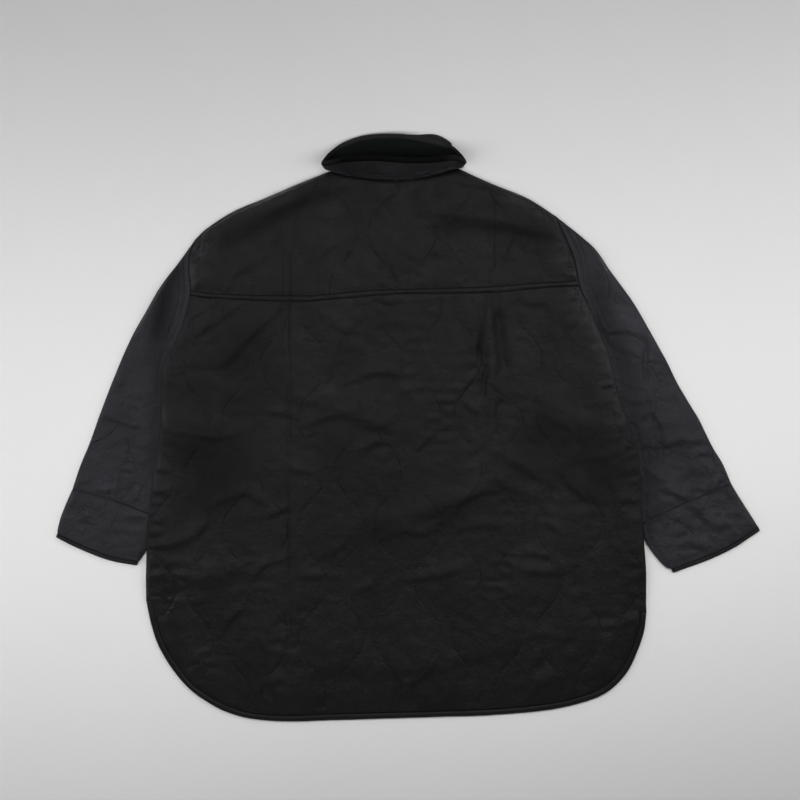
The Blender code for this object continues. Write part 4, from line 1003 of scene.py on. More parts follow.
# ================================================================== the body
OUTLINE_STEP = 14.0         # along the outlines that only measure distances
BODY_BOX = ((-353, -412), (358, 365))
FRONT_STEP = 8.0            # spacing of the points of the fronts' upper faces
BODY_DRIFT = 2.4            # how far the quilting wanders from its even pattern
SLEEVE_DRIFT = 2.0
EDGE_ROLL = 6.0             # width over which a wall rounds down to its edge
EDGE_WALL = 1.75            # and its thickness there
PULL_REACH = 22.0           # how far the puckers of a seam or an edge reach
PULL = 0.032                # extra cloth along it, as a share of its length
THINNEST = 1.2              # the least thickness that folds press the back to
CREASE_WOBBLE = 2.0         # how far the creases wander from their tables' lines
LINE_HOLD = 0.5             # how firmly quilting stitches hold the cloth
TOPSTITCH_HOLD = 0.6        # and topstitching
EDGE_HOLD = 2.5             # width over which an edge holds it
SEAM_DIP = (0.5, 1.6)       # how deep and wide the cloth sinks towards the yoke seam
TOPSTITCH_DEPTH = 0.35      # how deep the groove of the yoke's topstitching is
TOPSTITCH_CALM = (0.8, 5.0)     # how much and how far it flattens the quilting beside it
FULLNESS = (0.22, 90.0)     # how much the padding's fullness varies, and over what size
BITE = (0.6, 42.0)          # how firmly the stitches bite on average, and over what size it varies
BITE_LIMITS = (0.1, 1.4)
UPPER_PULL = 0.3            # share of the puckers that the yoke and the upper back keep
UPPER_START = (60.0, 80.0)  # y below which they grow, and over what height
GROOVE_FADE, CRISP_FADE = 4.0, 9.0  # widths over which grooves and sharp creases fade to an edge
SHIFT_FADE = 6.0            # and the cloth's sideways shift
STITCH_MARGIN = 2.5         # how far from an edge the last quilting stitch lies
TOPSTITCH_MARGIN = 2.0      # and the last topstitch
STITCH_LENGTH = 2.5
STITCH_PITCH = 3.3
FIRST_STITCH = 0.6          # where a line's first stitch starts
THREAD_HALF = 0.24
THREAD_DIVE = 0.15          # how far a stitch's ends lie under the cloth's face


def bound_hem(step):
    """The line along which the hem's binding ends on the cloth."""
    return offset_line(curve(HEM, step), BINDING_WIDTH)


def body_outline(hem, neck=()):
    """The outline of the back and the yoke together."""
    left, right = ([curve(rows, OUTLINE_STEP) for rows in side] for side in (
        (EDGE_LEFT, SHOULDER_LEFT), (SHOULDER_RIGHT, EDGE_RIGHT)))
    return join(neck, *right, hem[::-1], *(line[::-1] for line in left))


def body_loops(step):
    """Outlines of the yoke, the back and the two fronts."""
    shoulder_left, shoulder_right = curve(SHOULDER_LEFT, step), curve(SHOULDER_RIGHT, step)
    seam, hem = curve(YOKE_SEAM, step), bound_hem(step)
    yoke = join(curve(BACK_NECK, step), shoulder_right,
                curve(EDGE_RIGHT, step, last=YOKE_ROW_RIGHT), seam[::-1],
                curve(EDGE_LEFT, step, last=YOKE_ROW_LEFT)[::-1], shoulder_left[::-1])
    back = join(seam, curve(EDGE_RIGHT, step, first=YOKE_ROW_RIGHT), hem[::-1],
                curve(EDGE_LEFT, step, first=YOKE_ROW_LEFT)[::-1])
    neck = curve(FRONT_NECK, step)
    middle_neck, middle_hem = (int(np.argmin(np.abs(line[:, 0]))) for line in (neck, hem))
    neck[middle_neck, 0] = hem[middle_hem, 0] = 0.0
    left = join(neck[:middle_neck + 1], hem[:middle_hem + 1][::-1],
                curve(EDGE_LEFT, step)[::-1], shoulder_left[::-1])
    right = join(neck[middle_neck:], shoulder_right, curve(EDGE_RIGHT, step),
                 hem[middle_hem:][::-1])
    return yoke, back, left, right


def tightness(grid, *waves):
    """How tight the sewing is from place to place, about 1; waves are (share, size, seed)."""
    swings = (share * grid.noise(size, seed) for share, size, seed in waves)
    return np.clip(sum(swings, 0.8), 0.0, 2.6)


def add_pull(growth, direction, pull):
    """Growth with the extra cloth that is gathered along a direction."""
    dx, dy = direction.T.reshape(2, *pull.shape)
    return [part + pull * a * b for part, a, b in zip(growth, (dx, dy, dx), (dx, dy, dy))]


def body_relief():
    """Settled places of the back's and the yoke's upper faces, on one grid."""
    grid = Grid(*BODY_BOX, CLOTH_STEP)
    shape = grid.x.shape
    lift, room = layer_fields(grid)
    under = lift + room + FRONT_WALL + SEAM_GAP
    drift_x, drift_y = grid.noise(70.0, 1), grid.noise(70.0, 2)
    x, y = grid.x + BODY_DRIFT * drift_x, grid.y + BODY_DRIFT * drift_y
    # right of the long tuck the cloth has slipped towards the middle
    slipped = x + (TUCK_SLIP * smooth((grid.x - TUCK_EAST[0]) / TUCK_EAST[1])
                   * smooth((grid.y - TUCK_NORTH[0]) / TUCK_NORTH[1]))
    back = quilt_fields(slipped, y, QUILTS["back"])
    yoke = quilt_fields(x, y, QUILTS["yoke"])
    seam = curve(YOKE_SEAM, OUTLINE_STEP)
    over = grid.y > np.interp(grid.x, seam[:, 0], seam[:, 1])
    gap, puff, tangent_x, tangent_y, signed = (np.where(over, a, b) for a, b in zip(yoke, back))

    loops = body_loops(OUTLINE_STEP)
    edge, direction, _ = nearest(grid.points, loops[0], closed=True)
    lower, lower_direction, _ = nearest(grid.points, loops[1], closed=True)
    direction = np.where((lower < edge)[:, None], lower_direction, direction)
    edge = np.minimum(edge, lower).reshape(shape)
    top_line = offset_line(seam, TOPSTITCH)
    top_gap = distance_to_line(grid.points, top_line, closed=False).reshape(shape)
    above = grid.y > np.interp(grid.x, top_line[:, 0], top_line[:, 1])
    sewn = np.where(above, -top_gap, top_gap)
    whole = body_outline(bound_hem(OUTLINE_STEP), curve(BACK_NECK, OUTLINE_STEP))
    rim = distance_to_line(grid.points, whole).reshape(shape)

    wobble = CREASE_WOBBLE * np.stack([drift_y.ravel(), drift_x.ravel()], 1)
    creases = (crease_relief(grid.points, CREASES, wobble)
               + FOLD_STRENGTH * fold_line_relief(grid.points, FOLD_LINES, wobble)).reshape(shape)
    fullness = 1.0 + FULLNESS[0] * grid.noise(FULLNESS[1], 3)
    # the stitches bite in some places and hardly show in others
    pulled = np.clip(BITE[0] + grid.noise(BITE[1], 7), *BITE_LIMITS)
    stitched = hill(gap, STITCH_HALF) * pulled
    topstitched = hill(top_gap, TOPSTITCH_HALF)
    calm = TOPSTITCH_CALM[0] * hill(top_gap, TOPSTITCH_CALM[1])
    puffs = BACK_PUFF * puff * fullness * (1 - calm)
    rise = BACK_WALL + puffs + creases + crinkle(grid, 100) + BROW[0] * smooth(rim / BROW[1])
    rise = np.maximum(rise, THINNEST) - SEAM_DIP[0] * hill(edge, SEAM_DIP[1])
    height = under + EDGE_WALL + (rise - EDGE_WALL) * smooth(rim / EDGE_ROLL)
    held = np.maximum.reduce([LINE_HOLD * stitched, TOPSTITCH_HOLD * topstitched,
                              hill(edge, EDGE_HOLD)])

    strength = tightness(grid, (0.8, 70.0, 5), (1.1, 17.0, 8))
    growth = gathers(gap, tangent_x, tangent_y, strength)
    pull = PULL * tightness(grid, (1.0, 40.0, 6), (1.0, 15.0, 9))
    # the yoke and the upper back lie smoother along their edges
    pull *= UPPER_PULL + (1 - UPPER_PULL) * smooth((UPPER_START[0] - grid.y) / UPPER_START[1])
    growth = add_pull(growth, direction, pull * hill(edge, PULL_REACH))
    moved = relax(height, held, growth, CLOTH_STEP, 11)
    moved[2] -= (STITCH_DEPTH * stitched + TOPSTITCH_DEPTH * topstitched) * smooth(
        edge / GROOVE_FADE)
    moved[2] += CRISP * creases * smooth(edge / CRISP_FADE)
    lines = {
        "yoke_cloth": quilt_lines(grid, x, BODY_DRIFT * drift_y, QUILTS["yoke"]),
        "back_cloth": quilt_lines(grid, slipped, BODY_DRIFT * drift_y, QUILTS["back"]),
    }
    return grid, moved, under, edge, (signed, sewn, pressed_field(grid)), lines


def pressed_field(grid):
    """Each point's distance from the pressed line beside it, negative to its left."""
    flat = np.full(len(grid.points), NO_STITCH)
    x, y = grid.points.T
    for rows in PRESSED_LINES:
        line = curve(rows, 8.0)[::-1]
        away = x - np.interp(y, line[:, 1], line[:, 0])
        beyond = np.maximum(line[0, 1] - y, y - line[-1, 1])
        ends = 6.0 * smooth(1 + beyond / 30.0)
        away += np.where(away < 0, -ends, ends) * (beyond > -30)
        better = (beyond < 0) & (np.abs(away) < np.abs(flat))
        flat[better] = away[better]
    return flat.reshape(grid.x.shape)


def quilt_lines(grid, seen_x, drift_y, quilt):
    """The stitch lines of a quilt as they lie on a grid whose rows see it shifted."""
    rows_x, rows_y = grid.x[0], grid.y[:, 0]
    lines = []
    for index in COLUMNS:
        places = []
        for j, y in enumerate(rows_y):
            seen_y = y
            for _ in range(4):
                x = np.interp(stitch_course(quilt, index, seen_y)[0], seen_x[j], rows_x)
                seen_y = y + np.interp(x, rows_x, drift_y[j])
            places.append((x, y))
        lines.append(np.array(places))
    return lines


def inside_runs(lines, loop, margin):
    """The stretches of some lines that lie inside a loop."""
    runs = []
    for line in lines:
        fits = is_inside(line, loop) & (distance_to_line(line, loop) > margin)
        changes = np.flatnonzero(np.diff([0, *fits.astype(int), 0]))
        runs += [line[i:j] for i, j in zip(changes[::2], changes[1::2]) if j - i > 2]
    return runs


def stitches(name, runs, top, material):
    """Short threads that rise from the cloth and dive into it again, along some lines."""
    corners, faces = [], []
    for run in runs:
        lengths = lengths_along(run)
        starts = np.arange(FIRST_STITCH, lengths[-1] - STITCH_LENGTH, STITCH_PITCH)
        if not len(starts):
            continue
        ends, tips = (read_rows(starts + reach, lengths, run) for reach in (0.0, STITCH_LENGTH))
        middle, way = (ends + tips) / 2, tips - ends
        way /= np.linalg.norm(way, axis=1, keepdims=True)
        side = np.stack([-way[:, 1], way[:, 0]], 1) * THREAD_HALF
        low, high, centre = top(ends), top(tips), top(middle)
        for a, b, c, s in zip(low, high, centre, side):
            first = len(corners)
            corners += [(*a[:2], a[2] - THREAD_DIVE), (*b[:2], b[2] - THREAD_DIVE),
                        (c[0] + s[0], c[1] + s[1], c[2]), (c[0] - s[0], c[1] - s[1], c[2]),
                        (c[0], c[1], c[2] + THREAD_HALF), (c[0], c[1], c[2] - THREAD_HALF)]
            for p, q in ((2, 4), (4, 3), (3, 5), (5, 2)):
                faces += [(first, first + p, first + q), (first + 1, first + q, first + p)]
    return make_piece(name, np.array(corners), faces, material, None)


def face_reader(grid, moved, edge):
    """A function that gives the settled places of points of a level face."""
    fade = smooth(edge / SHIFT_FADE)
    shift_x, shift_y, z = moved[0] * fade, moved[1] * fade, moved[2]

    def top(points):
        return np.column_stack([points[:, 0] + grid.read(shift_x, points),
                                points[:, 1] + grid.read(shift_y, points),
                                grid.read(z, points)])
    return top


def field_reader(grid, field):
    """A function that reads one field of a grid at some points."""
    return lambda points: grid.read(field, points)


def level_face(grid, field, rise=0.0):
    """A function that sets points of the plane as high as a grid's field, and a bit more."""
    return lambda points: np.column_stack([points, grid.read(field, points) + rise])


def build_body(cloth, thread):
    """The yoke, the back and the fronts, with their stitches."""
    grid, moved, under, edge, fields, lines = body_relief()
    top, bottom = face_reader(grid, moved, edge), field_reader(grid, under)
    marks = [field_reader(grid, field) for field in fields]
    yoke, back, left, right = (inset(loop, SEAM_GAP / 2) for loop in body_loops(EDGE_POINTS))
    pieces = {}
    for name, loop, node in (("yoke_cloth", yoke, "back_yoke"),
                             ("back_cloth", back, "back_panel")):
        pieces[name] = sheet_piece(name, loop, grid, top, bottom, cloth, node, "shell_cloth",
                                   *marks)
        runs = inside_runs(lines[name], loop, STITCH_MARGIN)
        if name == "yoke_cloth":
            seam = offset_line(curve(YOKE_SEAM, EDGE_POINTS), TOPSTITCH)
            runs += inside_runs([seam], loop, TOPSTITCH_MARGIN)
        thread_name = name.replace("cloth", "stitches")
        pieces[thread_name] = stitches(thread_name, runs, top, thread)
    coarse = Grid(*BODY_BOX, FRONT_STEP)
    lift, _ = layer_fields(coarse)
    front_top, front_bottom = level_face(coarse, lift, FRONT_WALL), field_reader(coarse, lift)

    def front_mark(points):
        return quilt_fields(points[:, 0], points[:, 1], QUILTS["back"])[4]

    for side, loop in (("left", left), ("right", right)):
        name = f"front_cloth_{side}"
        pieces[name] = sheet_piece(name, loop, coarse, front_top, front_bottom, cloth,
                                   f"front_{side}", "shell_cloth", under_mark=front_mark)
    return pieces


# ================================================================== bindings of the hems
def sweep(name, sections, closed, material, node, marks=None):
    """A solid through sections of equal point counts; an open sweep gets flat ends."""
    total, count = len(sections), len(sections[0])
    faces = []
    for s in range(total if closed else total - 1):
        faces += band(s * count, (s + 1) % total * count, count)
    if not closed:
        last = (total - 1) * count
        faces.append(tuple(range(count)))
        faces.append(tuple(range(last + count - 1, last - 1, -1)))
    return make_piece(name, np.vstack(sections), faces, material, node, marks)


def ripple(length, step, scale, seed):
    """Smooth noise along a line."""
    values = random_rows(seed, int(length * step / scale) + 4)
    return blend_rows(values, np.arange(length) * step / scale + 1)


HEM_PUCKER = (9.0, 0.28)    # size and height of the strip's small puckers
HEM_SWELL = (45.0, 0.25)    # size of its broad swells, and their share of its crown
HEM_WANDER = 0.35           # how far its outer edge wanders
BACK_CROWN, FRONT_CROWN = 0.9, 0.3      # how much higher the strip's middle is than its sides
BACK_RISE, FRONT_DROP = 0.4, 0.35       # its sides stand over the back, or below a front's face


def binding_sections(line, low, high, crown, seed):
    """Sections of the folded strip along a hem, to the line's left."""
    inner = BINDING_WIDTH - SEAM_GAP
    puckers = ripple(len(line), EDGE_POINTS, HEM_PUCKER[0], seed)
    swells = ripple(len(line), EDGE_POINTS, HEM_SWELL[0], seed + 1)
    sections = []
    for point, normal, pucker, swell in zip(line, left_normals(line), puckers, swells):
        peak = high + crown * (1 + HEM_SWELL[1] * swell) + HEM_PUCKER[1] * pucker
        out = HEM_WANDER * swell
        rows = ((out, low + 0.5 * (high - low)), (out + 0.4, low + 0.18 * (high - low)),
                (1.4, low), (inner, low), (inner, high - 0.5),
                (inner - 0.5, high + 0.1 + 0.2 * pucker), (inner * 0.66, peak - 0.1),
                (inner * 0.42, peak), (2.0, high + 0.35 * crown), (0.9, high - 0.15),
                (out + 0.25, low + 0.76 * (high - low)))
        sections.append(np.array([(*(point + normal * across), z) for across, z in rows]))
    return sections


def build_hem_edges(material):
    """The bindings on the back's and the fronts' hems."""
    line = curve(HEM, EDGE_POINTS)
    low = FRONT_WALL + SEAM_GAP
    pieces = {"hem_edge_back": sweep(
        "hem_edge_back", binding_sections(line, low, low + EDGE_WALL + BACK_RISE, BACK_CROWN, 21),
        False, material, "hem_binding_back")}
    middle = int(np.argmin(np.abs(line[:, 0])))
    line[middle, 0] = 0.0
    left, right = line[:middle + 1].copy(), line[middle:].copy()
    left[-1, 0] -= SEAM_GAP / 2
    right[0, 0] += SEAM_GAP / 2
    for side, part, seed in (("left", left, 23), ("right", right, 25)):
        name = f"hem_edge_front_{side}"
        sections = binding_sections(part, 0.0, FRONT_WALL - FRONT_DROP, FRONT_CROWN, seed)
        for section in sections:
            section[:, 2] = np.minimum(section[:, 2], FRONT_WALL)
        pieces[name] = sweep(name, sections, False, material, f"hem_binding_front_{side}")
    return pieces


# ================================================================== sleeves and cuffs
SLEEVE_POINTS = 2.8         # spacing of the points
SLEEVE_CRINKLE = 1.3        # the small creases' height, as a share of the body's
SLEEVE_GATHER = 1.4         # and the gathers along the stitch lines
SLEEVE_PULL = 1.2           # and those along the seams
SLEEVE_WOBBLE = 1.5         # how far the creases wander from their tables' lines
SIDE_HOLD = 0.7             # how firmly the side folds hold the cloth
DEEPEST_FOLD = -1.2         # the most that folds press a sleeve's face down
ARMHOLE_DIP = 0.2           # how deep the armhole's topstitching lies before relaxing
ARMHOLE_DEPTH = 0.3         # and how much deeper after it
FREE_START = (1.5, 9.0)     # how far from the body's edge a sleeve lies free, and over what width
QUILT_START = (6.0, 10.0)   # and where its quilting starts
CUFF_CALM = (0.9, 6.0)      # how much and how far the cuff seam flattens the quilting
HEM_CALM = 9.0              # how far a cuff's hem does
SLEEVE_FULLNESS = (0.2, 70.0)   # as FULLNESS
CUFF_SEAM_HOLD, CUFF_HEM_HOLD = 2.0, 7.5    # widths over which they hold the cloth
SLEEVE_MARGIN = 3.5         # as STITCH_MARGIN
SEEN = 0.3                  # share of the quilting's height from which its lines show
FOLD_ANGLES = (60.0, 30.0, 0.0, -30.0, -60.0)       # of the points round a side fold
END_ROWS = (0.0, 0.5, 1.3, 2.6)      # rows of points next to a tube's ends
SHORT_TUBE = 12.0           # length of a tube that is only a binding
END_ROUND = 1.6             # radius of its ends' edges
END_LIFT = 0.7              # how far they round up from the floor
END_HEIGHT = 0.45           # how high they stand over the middle, as a share of the face there
OUTWARD = {"left": -1, "right": 1}
SLEEVE_SEEDS = {"left": 40, "right": 60}
FOLD_COUNT = 120            # points along a side fold
CUFF_STITCH = 2.2           # distance of the cuff seam's stitching from it
CUFF_EDGE_RISE = 0.55       # how far the binding stands over the cuff
HOLLOW_EVERY = 10           # rows of the cloth to one of its hollow
CUFF_LENGTH = 70.0          # length by which the cuffs' rows are spaced


def line_points(line, t):
    """Places at some shares of a line's points."""
    return read_rows(t, np.arange(len(line)) / (len(line) - 1), line)


def patch(lines, across, along):
    """Points of a four-sided patch; across and along are arrays of one shape."""
    outer, inner, start, end = lines
    a, s = across[..., None], along[..., None]
    blend = ((1 - a) * line_points(outer, along) + a * line_points(inner, along)
             + (1 - s) * line_points(start, across) + s * line_points(end, across))
    return blend - ((1 - a) * (1 - s) * outer[0] + a * (1 - s) * inner[0]
                    + (1 - a) * s * outer[-1] + a * s * inner[-1])


def tube(name, lines, length, columns, top, material, node, mark=None, sewn=None):
    """A flat tube of cloth between four lines, open at its start and end.

    mark(points) gives the distance from the quilting, and sewn(points) that from other stitching.
    """
    rows = max(1, round(length / SLEEVE_POINTS))
    ends = np.array(END_ROWS) / length
    inner_rows = np.linspace(0.0, 1.0, rows + 1)
    inner_rows = inner_rows[(inner_rows > ends[-1] * 1.3) & (inner_rows < 1 - ends[-1] * 1.3)]
    along = np.concatenate([ends, inner_rows, 1 - ends[::-1]])
    if length < SHORT_TUBE:
        along = np.array([0.0, 0.5, 1.5, length / 2, length - 1.5, length - 0.5, length]) / length
    outer_fold = patch(lines, np.zeros(len(along)), along)
    inner_fold = patch(lines, np.ones(len(along)), along)
    width = np.linalg.norm(inner_fold - outer_fold, axis=1)

    def strip(inset_by):
        """Rows of points between places inset from both folds."""
        share = inset_by / width[:, None]
        across = share + (1 - 2 * share) * np.linspace(0.0, 1.0, columns)[None, :]
        return patch(lines, across, np.repeat(along[:, None], columns, axis=1))

    flat = strip(FOLD_INSET)
    from_end = np.minimum(along, 1 - along) * length
    drop = round_edge(from_end, END_ROUND)
    low_rounding = END_LIFT * (1 - drop)
    settled = top(flat.reshape(-1, 2)).reshape(len(along), columns, 3)
    below = np.zeros((len(along), columns))
    if mark:
        away = mark(flat.reshape(-1, 2)).reshape(len(along), columns)
        below = under_groove(away) * drop[:, None]
    middle = SLEEVE_TOP * SIDE_FOLD
    settled[..., 2] = middle + (settled[..., 2] - middle) * (
        END_HEIGHT + (1 - END_HEIGHT) * drop[:, None])
    rings = []
    for s in range(len(along)):
        upper = settled[s]
        lower = np.column_stack([flat[s][::-1], low_rounding[s] + below[s][::-1]])
        outer_arc, inner_arc = [], []
        for angle in FOLD_ANGLES:
            c, z = math.cos(math.radians(angle)), math.sin(math.radians(angle))
            for arc, fold, first, high in ((outer_arc, outer_fold[s], flat[s][0], upper[0][2]),
                                           (inner_arc, inner_fold[s], flat[s][-1], upper[-1][2])):
                place = first + (fold - first) * c
                arc.append((*place, middle + z * ((high - middle) if z > 0 else middle)))
        rings.append(np.vstack([lower, outer_arc[::-1], upper, inner_arc]))
    size = len(rings[0])
    hollow_rows = sorted({len(along) - 1, *range(0, len(along), HOLLOW_EVERY)})
    inside = strip(HOLLOW_INSET)
    hollows = []
    for s in hollow_rows:
        hollows.append(np.vstack([
            np.column_stack([inside[s][::-1], np.full(columns, SLEEVE_WALL)]),
            np.column_stack([inside[s], np.full(columns, SLEEVE_WALL + SLEEVE_HOLLOW)])]))
    hollow_size = 2 * columns
    hollow_start = len(rings) * size
    faces = []
    for total, first, count in ((len(rings), 0, size), (len(hollows), hollow_start, hollow_size)):
        for s in range(total - 1):
            faces += band(first + s * count, first + (s + 1) * count, count)
    arc = len(FOLD_ANGLES)
    for ring, hollow in ((0, 0), (len(rings) - 1, len(hollows) - 1)):
        out, into = ring * size, hollow_start + hollow * hollow_size
        for i in range(columns - 1):
            faces.append((out + i, out + i + 1, into + i + 1, into + i))
            upper, hollow_upper = out + columns + arc + i, into + columns + i
            faces.append((upper, upper + 1, hollow_upper + 1, hollow_upper))
        fold = [out + columns - 1 + i for i in range(arc + 2)]
        faces.append((*fold, into + columns, into + columns - 1))
        fold = [out + (2 * columns + arc - 1 + i) % size for i in range(arc + 2)]
        faces.append((*fold, into, into + 2 * columns - 1))
    upper_face = slice(columns + arc, 2 * columns + arc)
    marks = {"seam": np.repeat(from_end[:, None], size, axis=1)}
    for field, read in (("stitch", mark), ("press", sewn)):
        if read is None:
            continue
        marks[field] = np.full((len(rings), size), NO_STITCH)
        values = read(flat.reshape(-1, 2)).reshape(len(along), columns)
        marks[field][:, upper_face] = values
        marks[field][:, :columns] = values[:, ::-1]
    marks = {field: values.ravel() for field, values in marks.items()}
    return make_piece(name, np.vstack(rings + hollows), faces, material, node, marks)


def sleeve_relief(side, loop, seam, body_loop):
    """Settled places of a sleeve's and its cuff's upper faces, on one grid."""
    data = SLEEVES[side]
    axis = np.array(data["axis"])
    across = np.array([-axis[1], axis[0]])
    cell = np.array(data["cell"])
    grid = Grid(loop.min(axis=0) - 10, loop.max(axis=0) + 10, CLOTH_STEP)
    shape = grid.x.shape
    seed = SLEEVE_SEEDS[side]
    drift = np.stack([grid.noise(60.0, seed + 1).ravel(), grid.noise(60.0, seed + 2).ravel()], 1)
    spot = grid.points + SLEEVE_DRIFT * drift
    local_x = ((spot - cell) @ across).reshape(shape)
    local_y = ((spot - cell) @ axis).reshape(shape)
    quilt = (0.0, 0.0, data["pitch"], data["pitch"], 0.0)
    gap, puff, tx, ty, signed = quilt_fields(local_x, local_y, quilt)
    direction = (tx * across[0] + ty * axis[0], tx * across[1] + ty * axis[1])

    from_side = np.minimum(*(distance_to_line(grid.points, np.vstack([
        curve(data[fold], OUTLINE_STEP), curve(data["cuff_" + fold], OUTLINE_STEP)]), closed=False)
        for fold in ("outer", "inner"))).reshape(shape)
    roll = smooth((from_side - SIDE_ROLL[0]) / SIDE_ROLL[1])
    covered = is_inside(grid.points, body_loop)
    clear = np.where(covered, 0.0, distance_to_line(grid.points, body_loop)).reshape(shape)
    free = smooth((clear - FREE_START[0]) / FREE_START[1])
    seam_gap, seam_direction, _ = nearest(grid.points, seam)
    hem_gap, hem_direction, _ = nearest(grid.points, curve(data["hem"], OUTLINE_STEP))
    seam_gap, hem_gap = seam_gap.reshape(shape), hem_gap.reshape(shape)

    creases = (crease_relief(grid.points, SLEEVE_CREASES, SLEEVE_WOBBLE * drift)
               + FOLD_STRENGTH * fold_line_relief(grid.points, SLEEVE_FOLD_LINES, drift)
               ).reshape(shape)
    rows, tuck = data["body_edge"]
    armhole = curve(rows, OUTLINE_STEP, last=tuck)
    top_line, near_line = (offset_line(armhole, OUTWARD[side] * distance)
                           for distance in (ARMHOLE_TOPSTITCH, ARMHOLE_EDGESTITCH))
    from_stitches = np.minimum(*(distance_to_line(grid.points, line, closed=False)
                                 for line in (top_line, near_line))).reshape(shape)
    between = (clear > ARMHOLE_EDGESTITCH) & (clear < ARMHOLE_TOPSTITCH)
    topstitched = hill(from_stitches, ARMHOLE_HALF) * free
    beyond = smooth((clear - QUILT_START[0]) / QUILT_START[1])
    flatten = (1 - CUFF_CALM[0] * hill(seam_gap, CUFF_CALM[1])) * (1 - hill(hem_gap, HEM_CALM))
    fullness = 1 + SLEEVE_FULLNESS[0] * grid.noise(SLEEVE_FULLNESS[1], seed + 3)
    puffs = SLEEVE_PUFF * puff * fullness * beyond * flatten
    rise = ((puffs + creases + SLEEVE_CRINKLE * crinkle(grid, 200 + seed)) * roll * free
            - ARMHOLE_DIP * topstitched)
    height = SLEEVE_TOP - SIDE_DROP * (1 - roll) + np.maximum(rise, DEEPEST_FOLD)
    stitched = hill(gap, STITCH_HALF)
    held = np.maximum.reduce([LINE_HOLD * stitched, TOPSTITCH_HOLD * topstitched, 1 - free,
                              hill(seam_gap, CUFF_SEAM_HOLD), hill(hem_gap, CUFF_HEM_HOLD),
                              SIDE_HOLD * hill(from_side, EDGE_HOLD)])
    strength = tightness(grid, (0.8, 60.0, seed + 5), (1.1, 16.0, seed + 6)) * free
    growth = gathers(gap, *direction, SLEEVE_GATHER * strength)
    for distance, way in ((seam_gap, seam_direction), (hem_gap - CUFF_BINDING, hem_direction)):
        pull = SLEEVE_PULL * PULL * strength * hill(distance, PULL_REACH)
        growth = add_pull(growth, way, pull)
    moved = relax(height, held, growth, CLOTH_STEP, seed)
    shown = beyond * flatten
    moved[2] -= STITCH_DEPTH * stitched * shown + ARMHOLE_DEPTH * topstitched
    moved[2] += CRISP * creases * roll * free
    signed = np.where(shown > SEEN, signed, NO_STITCH)
    sewn = np.where(between, -1.0, 1.0) * from_stitches
    down = np.arange(-STEP_REACH, STEP_REACH, 2.0)
    lines = []
    for index in range(-5, 5):
        x = stitch_course(quilt, index, down)[0]
        line = cell + x[:, None] * across + down[:, None] * axis
        off = np.stack([grid.read(drift[:, i].reshape(shape), line) for i in range(2)], 1)
        line = line - SLEEVE_DRIFT * off
        line = line[grid.read(shown, line) > SEEN]
        if len(line) > 3:
            lines.append(line)
    return grid, moved, from_side, signed, sewn, lines + [top_line]


def build_sleeves(cloth, trim, thread, body_loop):
    """The sleeves and cuffs, with their stitches and bindings."""
    pieces = {}
    for side, data in SLEEVES.items():
        axis = np.array(data["axis"])
        rows, tuck = data["body_edge"]
        seen = curve(rows, EDGE_POINTS, last=tuck)
        hidden = curve(data["hidden_edge"], EDGE_POINTS)
        armhole = offset_line(np.vstack([seen, hidden[1:]]), OUTWARD[side] * SEAM_GAP)
        columns = int(lengths_along(armhole)[-1] / SLEEVE_POINTS)
        armhole = resample(armhole, columns)
        outer, inner = (resample(curve(data[fold], EDGE_POINTS), FOLD_COUNT)
                        for fold in ("outer", "inner"))
        outer[0], inner[0] = armhole[0], armhole[-1]
        seam, hem = (resample(curve(data[line], EDGE_POINTS), columns)
                     for line in ("cuff_seam", "hem"))
        loop = join(armhole, inner, curve(data["cuff_inner"], EDGE_POINTS), hem[::-1],
                    curve(data["cuff_outer"], EDGE_POINTS)[::-1], outer[::-1])
        grid, moved, edge, signed, sewn, lines = sleeve_relief(side, loop, resample(seam, 12),
                                                               body_loop)
        top, mark = face_reader(grid, moved, edge), field_reader(grid, signed)
        name = f"sleeve_cloth_{side}"
        pieces[name] = tube(name, (outer, inner, armhole, seam), lengths_along(outer)[-1], columns,
                            top, cloth, f"sleeve_{side}", mark,
                            field_reader(grid, sewn))
        inner_loop = join(armhole, inner, seam[::-1], outer[::-1])
        runs = inside_runs(lines, inner_loop, SLEEVE_MARGIN)
        for step in (-CUFF_STITCH, CUFF_STITCH + SEAM_GAP):
            runs.append(seam[2:-2] + axis * step)
        name = f"sleeve_stitches_{side}"
        pieces[name] = stitches(name, runs, top, thread)
        cuff_start, cuff_end = seam + axis * SEAM_GAP, hem - axis * CUFF_BINDING
        sides = []
        for line, place in ((data["cuff_outer"], 0), (data["cuff_inner"], -1)):
            middle = curve(line, EDGE_POINTS)[1:-3]
            sides.append(resample(np.vstack([cuff_start[place], middle, cuff_end[place]]), 40))
        name = f"cuff_cloth_{side}"
        pieces[name] = tube(name, (*sides, cuff_start, cuff_end), CUFF_LENGTH, columns, top, cloth,
                            f"cuff_{side}", mark)
        edge_start = cuff_end + axis * SEAM_GAP
        ends = [np.array([edge_start[place], hem[place]]) for place in (0, -1)]

        def band_top(points, read=top):
            place = read(points)
            place[:, 2] += CUFF_EDGE_RISE
            return place

        name = f"cuff_edge_{side}"
        pieces[name] = tube(name, (*ends, edge_start, hem), CUFF_BINDING, columns, band_top, trim,
                            f"cuff_binding_{side}")
    return pieces


# ================================================================== collar
# heights of what lifts the shell's face: quilting, pleats, crumple and a fold, and their limits
COLLAR_PUFF, COLLAR_PLEATS, COLLAR_CRUMPLE, COLLAR_FOLD = 1.5, 1.5, 0.8, 1.2
COLLAR_REACH = (-0.9, 3.2)
PLEAT_SIZE, CRUMPLE_SIZE = (4.0, 26.0), (9.0, 7.0)      # in stations and rows
LAID_PLEATS, LAID_CRUMPLE = 0.35, 0.3   # heights of the same on the half that lies flat
# where it is gathered most, beside the middle of the neck: share, x, reach
COLLAR_GATHERS = ((1.0, 34, 17), (0.7, -46, 22))
EVEN_GATHER = 0.35          # and the share everywhere
